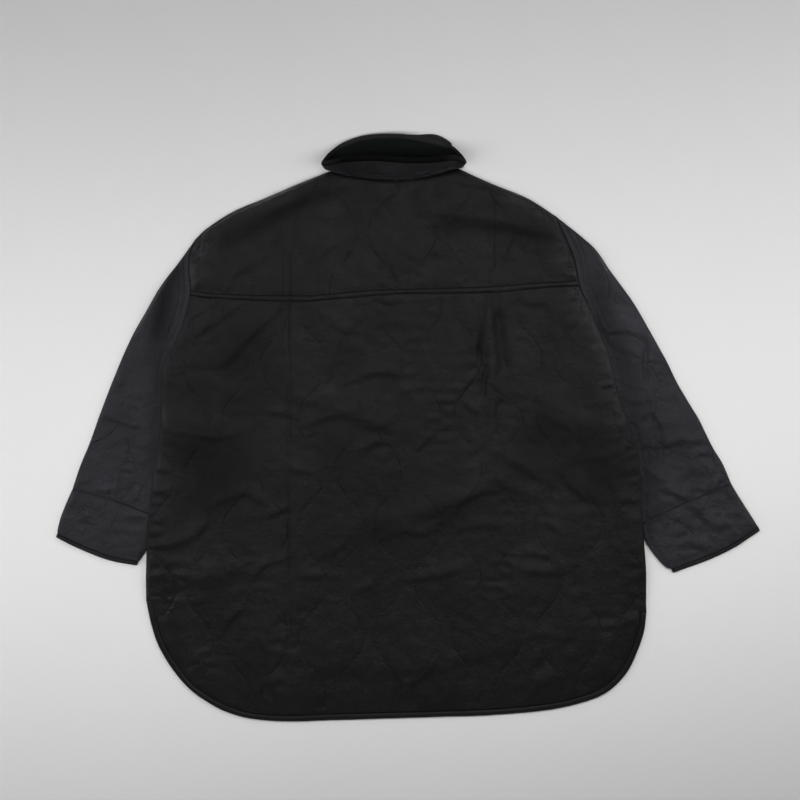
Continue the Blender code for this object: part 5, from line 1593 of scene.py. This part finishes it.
# the fold that climbs along the back of the neck: its level in the collar's height, its climb to
# a millimetre, its width, and the x and reach of its middle
NECK_FOLD = (0.5, 0.004, 0.13, -12, 22)
RIM_STEP, RIM_PUCKER = 2.6, 8.0         # spacing of the binding's points, size of its puckers
RIM_STRETCH = (0.03, 0.05)  # how much they change its height and its thickness
RIM_ENDS = (66.0, 16.0)     # distance from the middle where the ring's ends start, and the width
END_UNEVEN = (0.25, 14.0)   # height and size of the collar end's unevenness
FLEECE_LIFT = 0.6           # how far the fleece's pile stands on average
FLEECE_REACH = (-0.8, 2.4)  # and its limits
# a soft roll along its standing half and the dip under it: height, level, width
FLEECE_ROLL = ((1.6, 0.55, 0.12), (-1.0, 0.36, 0.08))
ROLL_REACH = 55.0           # the roll fades out at about three times this x
# its tufts and clumps: height, size in stations and rows, seed
FLEECE_TUFTS = ((0.55, (1.6, 1.4), 73), (0.7, (10.0, 6.0), 74))
# painted shade on the collar's rim: share that it is darker where it stands, and at the ring's two
# ends
RIM_SHADE, END_SHADE = 0.88, 0.45


def ring_stations():
    """The rows of the collar's table with smoothly blended rows between them."""
    rows = np.array(COLLAR_RING, dtype=float)
    total = len(rows)
    stations = []
    for i in range(total):
        p0, p1, p2, p3 = (rows[(i + k) % total] for k in (-1, 0, 1, 2))
        parts = COLLAR_CORNER_PARTS if i in COLLAR_CORNER_SPANS else COLLAR_SPAN_PARTS
        for t in np.arange(parts) / parts:
            stations.append(0.5 * (2 * p1 + (p2 - p0) * t
                                   + (2 * p0 - 5 * p1 + 4 * p2 - p3) * t * t
                                   + (3 * p1 - p0 - 3 * p2 + p3) * t ** 3))
    return np.array(stations)


def collar_middle(whole=True):
    """Middle surface of the collar's shell wall, stations by rows, up to the free edge."""
    stations = ring_stations()
    base, edge = stations[:, :3], stations[:, 3:6]
    standing = smooth((edge[:, 2] - STANDING_RIM[0]) / STANDING_RIM[1])
    base[:, 1] -= COLLAR_LEAN * standing
    start = np.zeros(len(stations)) if whole else stations[:, 6]
    corner = 4.0 * standing * (1.0 - standing)      # 1 midway between lying and standing
    end = np.ones(len(stations)) if whole else LINING_END - CORNER_DROP * corner
    ring = []
    for row in np.linspace(0.0, 1.0, COLLAR_ROWS + 1):
        t = start + (end - start) * row
        line = base + (edge - base) * t[:, None]
        curl = t ** (1.0 + 2.0 * (1.0 - standing))
        line[:, 2] = base[:, 2] + (edge[:, 2] - base[:, 2]) * curl
        line[:, 1] -= COLLAR_SWELL * np.sin(math.pi * t) * standing
        ring.append(line)
    return np.array(ring).transpose(1, 0, 2), standing


def surface_normals(grid):
    """Unit normals of a closed ring of stations, pointing out of the ring."""
    around = np.roll(grid, -1, axis=0) - np.roll(grid, 1, axis=0)
    up = np.gradient(grid, axis=1)
    normals = np.cross(up, around)
    normals /= np.linalg.norm(normals, axis=2, keepdims=True)
    centre = grid.mean(axis=(0, 1))
    if np.sum((grid - centre) * normals) < 0:
        normals = -normals
    return normals


def ring_lengths(grid):
    """Lengths round the ring from its middle station, and up it from its foot."""
    along = np.cumsum(np.linalg.norm(np.diff(grid, axis=0, prepend=grid[:1]), axis=2), axis=0)
    up = np.cumsum(np.linalg.norm(np.diff(grid, axis=1, prepend=grid[:, :1]), axis=2), axis=1)
    return along - along[len(along) // 2], up


def ring_noise(shape, scales, seed):
    """Smooth noise on a closed ring of stations; scales are in stations and rows."""
    total, rows = shape
    around = max(4, round(total / scales[0]))
    values = random_rows(seed, around, int(rows / scales[1]) + 3)
    ring = blend_rows(values, np.arange(total) * around / total)
    return blend_rows(ring.T, np.arange(rows) / scales[1]).T


def ring_wall(name, grid, normals, inner, outer, material, node):
    """A closed ring between two offsets of a surface, its edges rounded."""
    outside = grid + normals * outer[:, :, None]
    inside = grid + normals * inner[:, :, None]
    middle = (outside + inside) / 2
    sections = []
    for out_line, in_line, mid in zip(outside, inside, middle):
        section = np.vstack([
            mid[:1] * 0.6 + out_line[:1] * 0.4, out_line[1:-1],
            mid[-1:] * 0.45 + out_line[-1:] * 0.55, mid[-1:] * 0.45 + in_line[-1:] * 0.55,
            in_line[1:-1][::-1], mid[:1] * 0.6 + in_line[:1] * 0.4])
        section[:, 2] = np.maximum(section[:, 2], 0.0)
        sections.append(section)
    _, up = ring_lengths(grid)
    away = np.minimum(up, up[:, -1:] - up)
    marks = np.hstack([away, away[:, ::-1]]).ravel()
    return sweep(name, sections, True, material, node, {"seam": marks})


def build_collar(cloth, fleece, trim, body_cloth):
    """The collar's shell, fleece and binding, and the other end that lies under its front."""
    grid, standing = collar_middle()
    normals = surface_normals(grid)
    half = COLLAR_WALL / 2
    along, up = ring_lengths(grid)
    puffs = quilt_fields(along, up, COLLAR_QUILT)[1]
    share = np.linspace(0.0, 1.0, COLLAR_ROWS + 1)[None, :]
    fade = np.sin(math.pi * share) ** 0.7 * standing[:, None]
    x = grid[:, :, 0]
    gathered = sum(height * hill(x - place, reach)
                   for height, place, reach in COLLAR_GATHERS) + EVEN_GATHER
    pleats = ring_noise(along.shape, PLEAT_SIZE, 71) * gathered
    crumple = ring_noise(along.shape, CRUMPLE_SIZE, 72)
    level, climb, width, middle_x, reach = NECK_FOLD
    band = hill(share - level - climb * x, width) * hill(x - middle_x, reach)
    puff = (COLLAR_PUFF * puffs + COLLAR_PLEATS * pleats * (1 - share) ** 0.5
            + COLLAR_CRUMPLE * crumple + COLLAR_FOLD * band) * fade
    laid = ((LAID_PLEATS * pleats + LAID_CRUMPLE * crumple) * np.sin(math.pi * share)
            * (1 - standing[:, None]))
    pieces = {"collar_cloth": ring_wall(
        "collar_cloth", grid, normals, np.full(along.shape, -half),
        half + np.clip(puff + laid, *COLLAR_REACH), cloth, "collar")}

    lining, _ = collar_middle(whole=False)
    pile = sum(height * ring_noise(along.shape, scales, seed)
               for height, scales, seed in FLEECE_TUFTS)
    fold = sum(height * hill(share - level, width) for height, level, width in FLEECE_ROLL)
    fold = fold * (0.5 + 0.5 * np.cos(x / ROLL_REACH))
    ends = np.sin(math.pi * share) ** 0.5
    pile = np.clip((pile + fold + FLEECE_LIFT) * ends, *FLEECE_REACH)
    inner = -half - LINING_GAP - LINING_WALL - pile
    pieces["collar_fleece"] = ring_wall(
        "collar_fleece", lining, surface_normals(lining), inner,
        np.full(along.shape, -half - LINING_GAP), fleece, "collar_lining")

    rise = grid[:, -1] - grid[:, -2]
    rise /= np.linalg.norm(rise, axis=1, keepdims=True)
    thick = COLLAR_WALL + LINING_GAP + LINING_WALL
    middle = grid[:, -1] - normals[:, -1] * (thick / 2 - half)
    puckers = ripple(len(grid), RIM_STEP, RIM_PUCKER, 75)
    # heights and sides of the points round the folded strip, the sides as shares of its thickness
    profile = ((-0.9, 0.52), *((COLLAR_BINDING * height, side) for height, side in (
        (0.35, 0.57), (0.7, 0.5), (0.93, 0.3), (1.0, 0.0), (0.93, -0.3), (0.7, -0.5),
        (0.35, -0.57))), (-1.6, -0.54))
    sections = []
    for centre, lift, normal, pucker in zip(middle, rise, normals[:, -1], puckers):
        taller, thicker = (1 + stretch * pucker for stretch in RIM_STRETCH)
        section = np.array([centre + lift * a * taller + normal * b * thick * thicker
                            for a, b in profile])
        section[:, 2] = np.maximum(section[:, 2], 0.0)
        sections.append(section)
    # painted shade darkens the standing rim, and the ring's two ends are darker; the lying rim is
    # left as it is
    ends = smooth((np.abs(grid[:, -1, 0]) - RIM_ENDS[0]) / RIM_ENDS[1])
    shaded = 1.0 - np.maximum(RIM_SHADE * smooth(1.6 * standing) * (1.0 - 0.4 * ends),
                              END_SHADE * ends)
    marks = {"painted_light_and_shade": np.repeat(shaded, len(profile))}
    pieces["collar_edge"] = sweep("collar_edge", sections, True, trim, "collar_binding",
                                  marks)

    end_loop = join(curve(COLLAR_END + COLLAR_END[:1], EDGE_POINTS))
    small = Grid(end_loop.min(axis=0) - 4, end_loop.max(axis=0) + 4, 4.0)
    puffs = COLLAR_WALL + END_UNEVEN[0] * small.noise(END_UNEVEN[1], 77)
    pieces["collar_end_cloth"] = sheet_piece(
        "collar_end_cloth", end_loop, small, level_face(small, puffs),
        lambda points: np.zeros(len(points)), body_cloth, "collar_end", "shell_cloth")
    return pieces


# ================================================================== materials
SHINE = 0.45                # the cloth's specular level
NEEDLE_SHADE = 0.55         # painted shade along the quilting lines: how dark it is, where it is darkest
SEAM_SHADE = 0.36           # and painted shade along a seam, an edge or topstitching
PRESS_SHADE = 0.60          # and painted shade along a pressed fold line


class Surface:
    """A new material with a Principled shader, and short ways to add nodes to it."""

    def __init__(self, name):
        self.material = bpy.data.materials.new(name)
        self.material.use_nodes = True
        self.tree = self.material.node_tree
        self.tree.nodes.clear()
        self.shader = self.add("BsdfPrincipled")
        self.add("OutputMaterial", {"Surface": self.shader.outputs["BSDF"]})
        self.coordinates = self.add("TexCoord").outputs["Object"]

    def set(self, node, values):
        """Sets a node's sockets, each to a number or colour or linked to another socket."""
        for place, value in values.items():
            if isinstance(value, bpy.types.NodeSocket):
                self.tree.links.new(value, node.inputs[place])
            else:
                node.inputs[place].default_value = value

    def add(self, kind, values=None, **settings):
        """A new node with some settings and sockets set."""
        node = self.tree.nodes.new("ShaderNode" + kind)
        for name, value in settings.items():
            setattr(node, name, value)
        self.set(node, values or {})
        return node

    def finish(self, **values):
        """Sets the shader's sockets, named with _ for each space, and gives the material."""
        self.set(self.shader, {name.replace("_", " "): value for name, value in values.items()})
        return self.material

    def noise(self, scale, detail=2.0):
        """Noise between 0 and 1, with so many features in a metre."""
        return self.add("TexNoise", {"Vector": self.coordinates, "Scale": scale,
                                     "Detail": detail}).outputs["Fac"]

    def ramp(self, value, dark, light):
        """A colour from dark to light, as a noise goes from 0.3 to 0.7."""
        node = self.add("ValToRGB", {"Fac": value})
        for element, place, colour in zip(node.color_ramp.elements, (0.3, 0.7), (dark, light)):
            element.position, element.color = place, (*colour, 1.0)
        return node.outputs["Color"]

    def bump(self, height, distance, strength, normal=None):
        """The normal of a surface raised by a height of 0 to 1 times a distance."""
        values = {"Distance": distance, "Strength": strength, "Height": height}
        if normal is not None:
            values["Normal"] = normal
        return self.add("Bump", values).outputs["Normal"]

    def span(self, value, source, target):
        """A value taken smoothly from one range to another."""
        return self.add("MapRange", {
            "From Min": source[0], "From Max": source[1], "To Min": target[0],
            "To Max": target[1], "Value": value}, interpolation_type="SMOOTHSTEP"
        ).outputs["Result"]

    def math(self, operation, first, second=None):
        """One value worked out from one or two others."""
        values = {0: first} if second is None else {0: first, 1: second}
        return self.add("Math", values, operation=operation).outputs[0]

    def times(self, first, second):
        """The product of two values."""
        return self.math("MULTIPLY", first, second)

    def carried(self, field):
        """A value that the piece's vertices carry under this name."""
        return self.add("Attribute", attribute_name=field).outputs["Fac"]

    def weave(self, threads):
        """Height of a plain weave, with so many threads in a metre."""
        return self.times(*(self.add(
            "TexWave", {"Scale": threads / 20.0, "Distortion": 0.6, "Detail": 1.0,
                        "Vector": self.coordinates},
            wave_type="BANDS", bands_direction=direction).outputs["Fac"]
            for direction in ("X", "Y")))


def cloth_material(name, dark, light, roughness, sheen, crepe, shine=SHINE):
    """A thin smooth synthetic cloth: crepe-like puckers, a fine weave and uneven dye.

    The distances that the vertices carry paint shade along its needle lines, seams and pressed
    lines and sink them; the painted light and shade they carry makes it lighter or darker, and
    glossier or duller, in broad patches.
    """
    cloth = Surface(name)
    stitch, seam, press = (cloth.math("ABSOLUTE", cloth.carried(field))
                           for field in ("stitch", "seam", "press"))
    fading = cloth.span(cloth.noise(38.0), (0.36, 0.54), (NEEDLE_SHADE, 1.0))
    painted_needle_shade = cloth.add("Mix", {"Factor": cloth.span(stitch, (0.15, 0.85), (0.0, 1.0)),
                                "A": fading, "B": 1.0}, data_type="FLOAT").outputs["Result"]
    # painted shade along the needle lines, seams, edges and pressed lines, times the broad painted
    # light and shade
    lines = cloth.times(
        cloth.times(painted_needle_shade, cloth.span(seam, (0.2, 0.95), (SEAM_SHADE, 1.0))),
        cloth.times(cloth.span(press, (0.1, 1.1), (PRESS_SHADE, 1.0)), cloth.carried("painted_light_and_shade")))
    grain = cloth.span(cloth.noise(420.0, 3.0), (0.3, 0.7), (0.76, 1.22))
    colour = cloth.add("Mix", {"Factor": 1.0, "A": cloth.ramp(cloth.noise(14.0, 3.0), dark, light),
                               "B": cloth.times(lines, grain)},
                       data_type="RGBA", blend_type="MULTIPLY").outputs["Result"]
    gloss = cloth.span(cloth.noise(45.0), (0.25, 0.75),
                       (1.0 - roughness + 0.05, 1.0 - roughness - 0.06))
    # the needle lines lie in their own shade, so they don't shine
    dull = cloth.math("SUBTRACT", 1.0, cloth.times(gloss, lines))
    normal = cloth.bump(cloth.noise(70.0, 3.0), 0.0022, crepe)
    normal = cloth.bump(cloth.noise(190.0, 4.0), 0.0009, crepe, normal)
    puckers = cloth.times(cloth.noise(260.0), cloth.span(stitch, (1.0, 12.0), (1.0, 0.15)))
    normal = cloth.bump(puckers, 0.0013, crepe, normal)
    groove = cloth.times(cloth.span(stitch, (0.0, 1.7), (1.0, 0.0)),
                         cloth.math("SUBTRACT", fading, 1.0))
    normal = cloth.bump(groove, 0.0010, 1.0, normal)
    normal = cloth.bump(cloth.span(seam, (0.0, 1.2), (0.0, 1.0)), 0.0006, 1.0, normal)
    normal = cloth.bump(cloth.weave(2600.0), 0.00006, 0.5, normal)
    return cloth.finish(
        Base_Color=colour, Roughness=dull, Normal=normal, Sheen_Weight=sheen,
        Sheen_Roughness=0.45, Sheen_Tint=(0.85, 0.87, 1.0, 1.0), Specular_IOR_Level=shine)


def fleece_material():
    """The collar's pile: dark green-black, matt and curly."""
    fleece = Surface("fleece_pile")
    curls = fleece.bump(fleece.noise(240.0, 3.0), 0.0012, 0.8)
    return fleece.finish(
        Base_Color=fleece.ramp(fleece.noise(60.0, 4.0), (0.0016, 0.0027, 0.0026),
                               (0.0034, 0.0052, 0.0048)),
        Normal=fleece.bump(fleece.noise(900.0, 4.0), 0.0005, 0.9, curls),
        Roughness=0.95, Sheen_Weight=0.05, Sheen_Roughness=0.6,
        Sheen_Tint=(0.75, 0.95, 0.9, 1.0), Specular_IOR_Level=0.2)


def floor_material():
    """The pale, slightly uneven floor."""
    floor = Surface("pale_floor")
    colour = floor.ramp(floor.noise(1.6), (0.80, 0.80, 0.805), (0.83, 0.83, 0.83))
    return floor.finish(Base_Color=colour, Roughness=0.9, Specular_IOR_Level=0.1)


# ================================================================== stage
WORLD = 0.05                # the surroundings' light
# rows: (name, place, target, size, power, colour); the shine_ lights show only in the gloss, and
# the strip lights everything but that
LIGHTS = (
    ("strip", (0.0, -0.02, 0.78), (0.0, -0.02, 0.0), (3.2, 0.3), 12.3, (1.0, 0.99, 0.97)),
    ("left", (-1.7, 0.25, 0.65), (-0.3, 0.0, 0.0), (0.6, 0.7), 3.2, (0.88, 0.92, 1.0)),
    ("right", (1.6, 0.35, 0.65), (0.3, 0.1, 0.0), (0.6, 0.7), 1.6, (0.88, 0.92, 1.0)),
    ("upper", (-0.6, 2.6, 1.5), (0.0, 0.0, 0.0), (1.4, 0.8), 5.0, (0.95, 0.97, 1.0)),
    ("over", (0.2, 1.3, 2.4), (0.0, 0.05, 0.0), (0.9, 0.5), 9.4, (1.0, 0.965, 0.985)),
    ("shine_left", (-1.5, 0.7, 1.3), (-0.25, 0.05, 0.0), (0.5, 0.5), 1.5, (0.95, 0.96, 1.0)),
    ("shine_right", (1.5, 0.7, 1.3), (0.25, 0.05, 0.0), (0.5, 0.5), 2.5, (0.95, 0.96, 1.0)),
    ("shine_south", (0.0, -2.2, 0.8), (0.0, 0.0, 0.0), (1.8, 0.5), 2.0, (0.97, 0.97, 1.0)),
)
STRIP_TURN = 7.0            # degrees that the strip is turned in its own plane


def area_light(name, place, target, size, power, colour):
    """A rectangular light that faces its target; the camera doesn't see it."""
    data = bpy.data.lights.new(name, "AREA")
    data.shape = "RECTANGLE"
    data.size, data.size_y = size
    data.energy, data.color = power, colour
    light = add_object(name, data)
    light.location = place
    light.rotation_euler = (Vector(target) - Vector(place)).to_track_quat("-Z", "Y").to_euler()
    light.visible_camera = False
    light.visible_diffuse = not name.startswith("shine_")
    return light


def build_stage():
    """The floor, the lights, the camera and the colours' transform."""
    bpy.ops.mesh.primitive_plane_add(size=9.0, location=(0.0, 0.0, -0.0002))
    floor = bpy.context.object
    floor.name = "floor"
    floor.data.materials.append(floor_material())
    world = bpy.data.worlds.new("studio")
    bpy.context.scene.world = world
    world.use_nodes = True
    background = world.node_tree.nodes["Background"]
    background.inputs["Color"].default_value = (0.86, 0.90, 1.0, 1.0)
    background.inputs["Strength"].default_value = WORLD
    strip = [area_light(*row) for row in LIGHTS][0]
    strip.rotation_euler = (0.0, 0.0, math.radians(STRIP_TURN))
    strip.visible_glossy = False
    data = bpy.data.cameras.new("camera")
    data.lens, data.sensor_width = 52.55, 36.0
    data.clip_start, data.clip_end = 0.05, 30.0
    camera = add_object("camera", data)
    camera.location = (-0.0109, 0.0377, 1.6)
    bpy.context.scene.camera = camera
    settings = bpy.context.scene.view_settings
    settings.view_transform, settings.look = "Standard", "None"
    settings.exposure, settings.gamma = 0.0, 1.0


# ================================================================== the cut
# Flat size of each panel that shows, before it was quilted and sewn, in metres: width and length
# of the rectangle that it is cut from, its flat area, what it lies on and what is sewn to it
SHEETS = {
    "yoke_cloth": (0.545, 0.190, 0.0765, ("front_cloth_left", "front_cloth_right"),
                   ("yoke_stitches",)),
    "back_cloth": (0.700, 0.604, 0.3710,
                   ("front_cloth_left", "front_cloth_right", "sleeve_cloth_left",
                    "sleeve_cloth_right"), ("back_stitches", "hem_edge_back")),
    "front_cloth_left": (0.345, 0.762, 0.2235, ("sleeve_cloth_left",), ("hem_edge_front_left",)),
    "front_cloth_right": (0.354, 0.763, 0.2225, ("sleeve_cloth_right",),
                          ("hem_edge_front_right",)),
    "sleeve_cloth_left": (0.250, 0.395, 0.0583, (), ("sleeve_stitches_left",)),
    "sleeve_cloth_right": (0.290, 0.457, 0.0702, (), ("sleeve_stitches_right",)),
    "cuff_cloth_left": (0.250, 0.080, 0.0177, (), ("cuff_edge_left",)),
    "cuff_cloth_right": (0.285, 0.085, 0.0214, (), ("cuff_edge_right",)),
    "collar_cloth": (0.420, 0.052, 0.0190, ("yoke_cloth", "collar_end_cloth"), ("collar_edge",)),
    "collar_fleece": (0.400, 0.045, 0.0110, ("collar_cloth",), ()),
    "collar_end_cloth": (0.075, 0.020, 0.0012, (), ()),
}


def declare_sheets(pieces):
    for name, (width, length, area, under, sewn) in SHEETS.items():
        [pieces[other] for other in under]
        [pieces[other] for other in sewn]


# ================================================================== all of it
# rows: (darker and lighter colour, roughness, sheen, depth of the crepe, specular level)
MATERIALS = {
    "shell_cloth_weave": ((0.0047, 0.0040, 0.0044), (0.0074, 0.0064, 0.0070), 0.62, 0.03, 0.8),
    # the sleeves' cloth is the shell cloth painted lighter and bluer: painted sheen for the light
    # that the sleeves catch
    "sleeve_cloth_weave": ((0.0120, 0.0110, 0.0142), (0.0172, 0.0160, 0.0204), 0.58, 0.08, 1.2),
    "binding_weave": ((0.0042, 0.0040, 0.0043), (0.0064, 0.0060, 0.0065), 0.60, 0.02, 0.30),
    "sewing_thread": ((0.0024, 0.0023, 0.0025), (0.0036, 0.0035, 0.0038), 0.60, 0.0, 0.2),
    "cuff_binding_weave": ((0.0062, 0.0058, 0.0068), (0.0092, 0.0086, 0.0100), 0.62, 0.04, 0.4),
    # the collar's binding and shell are the shell cloth painted lighter: painted light that the
    # collar's wall and rim catch
    "collar_binding_painted_light": ((0.0120, 0.0110, 0.0120), (0.0170, 0.0157, 0.0170), 0.70, 0.0, 0.6,
                             0.22),
    "collar_cloth_painted_light": ((0.0096, 0.0084, 0.0092), (0.0144, 0.0128, 0.0140), 0.62, 0.05, 0.8),
}
shell, sleeve_shell_painted_sheen, trim, thread, cuff_trim, collar_trim_painted_light, collar_shell_painted_light = (
    cloth_material(name, *row) for name, row in MATERIALS.items())
pieces = {
    **build_body(shell, thread),
    **build_hem_edges(trim),
    **build_sleeves(sleeve_shell_painted_sheen, cuff_trim, thread, body_outline(curve(HEM, OUTLINE_STEP))),
    **build_collar(collar_shell_painted_light, fleece_material(), collar_trim_painted_light, shell),
}
build_stage()
declare_sheets(pieces)
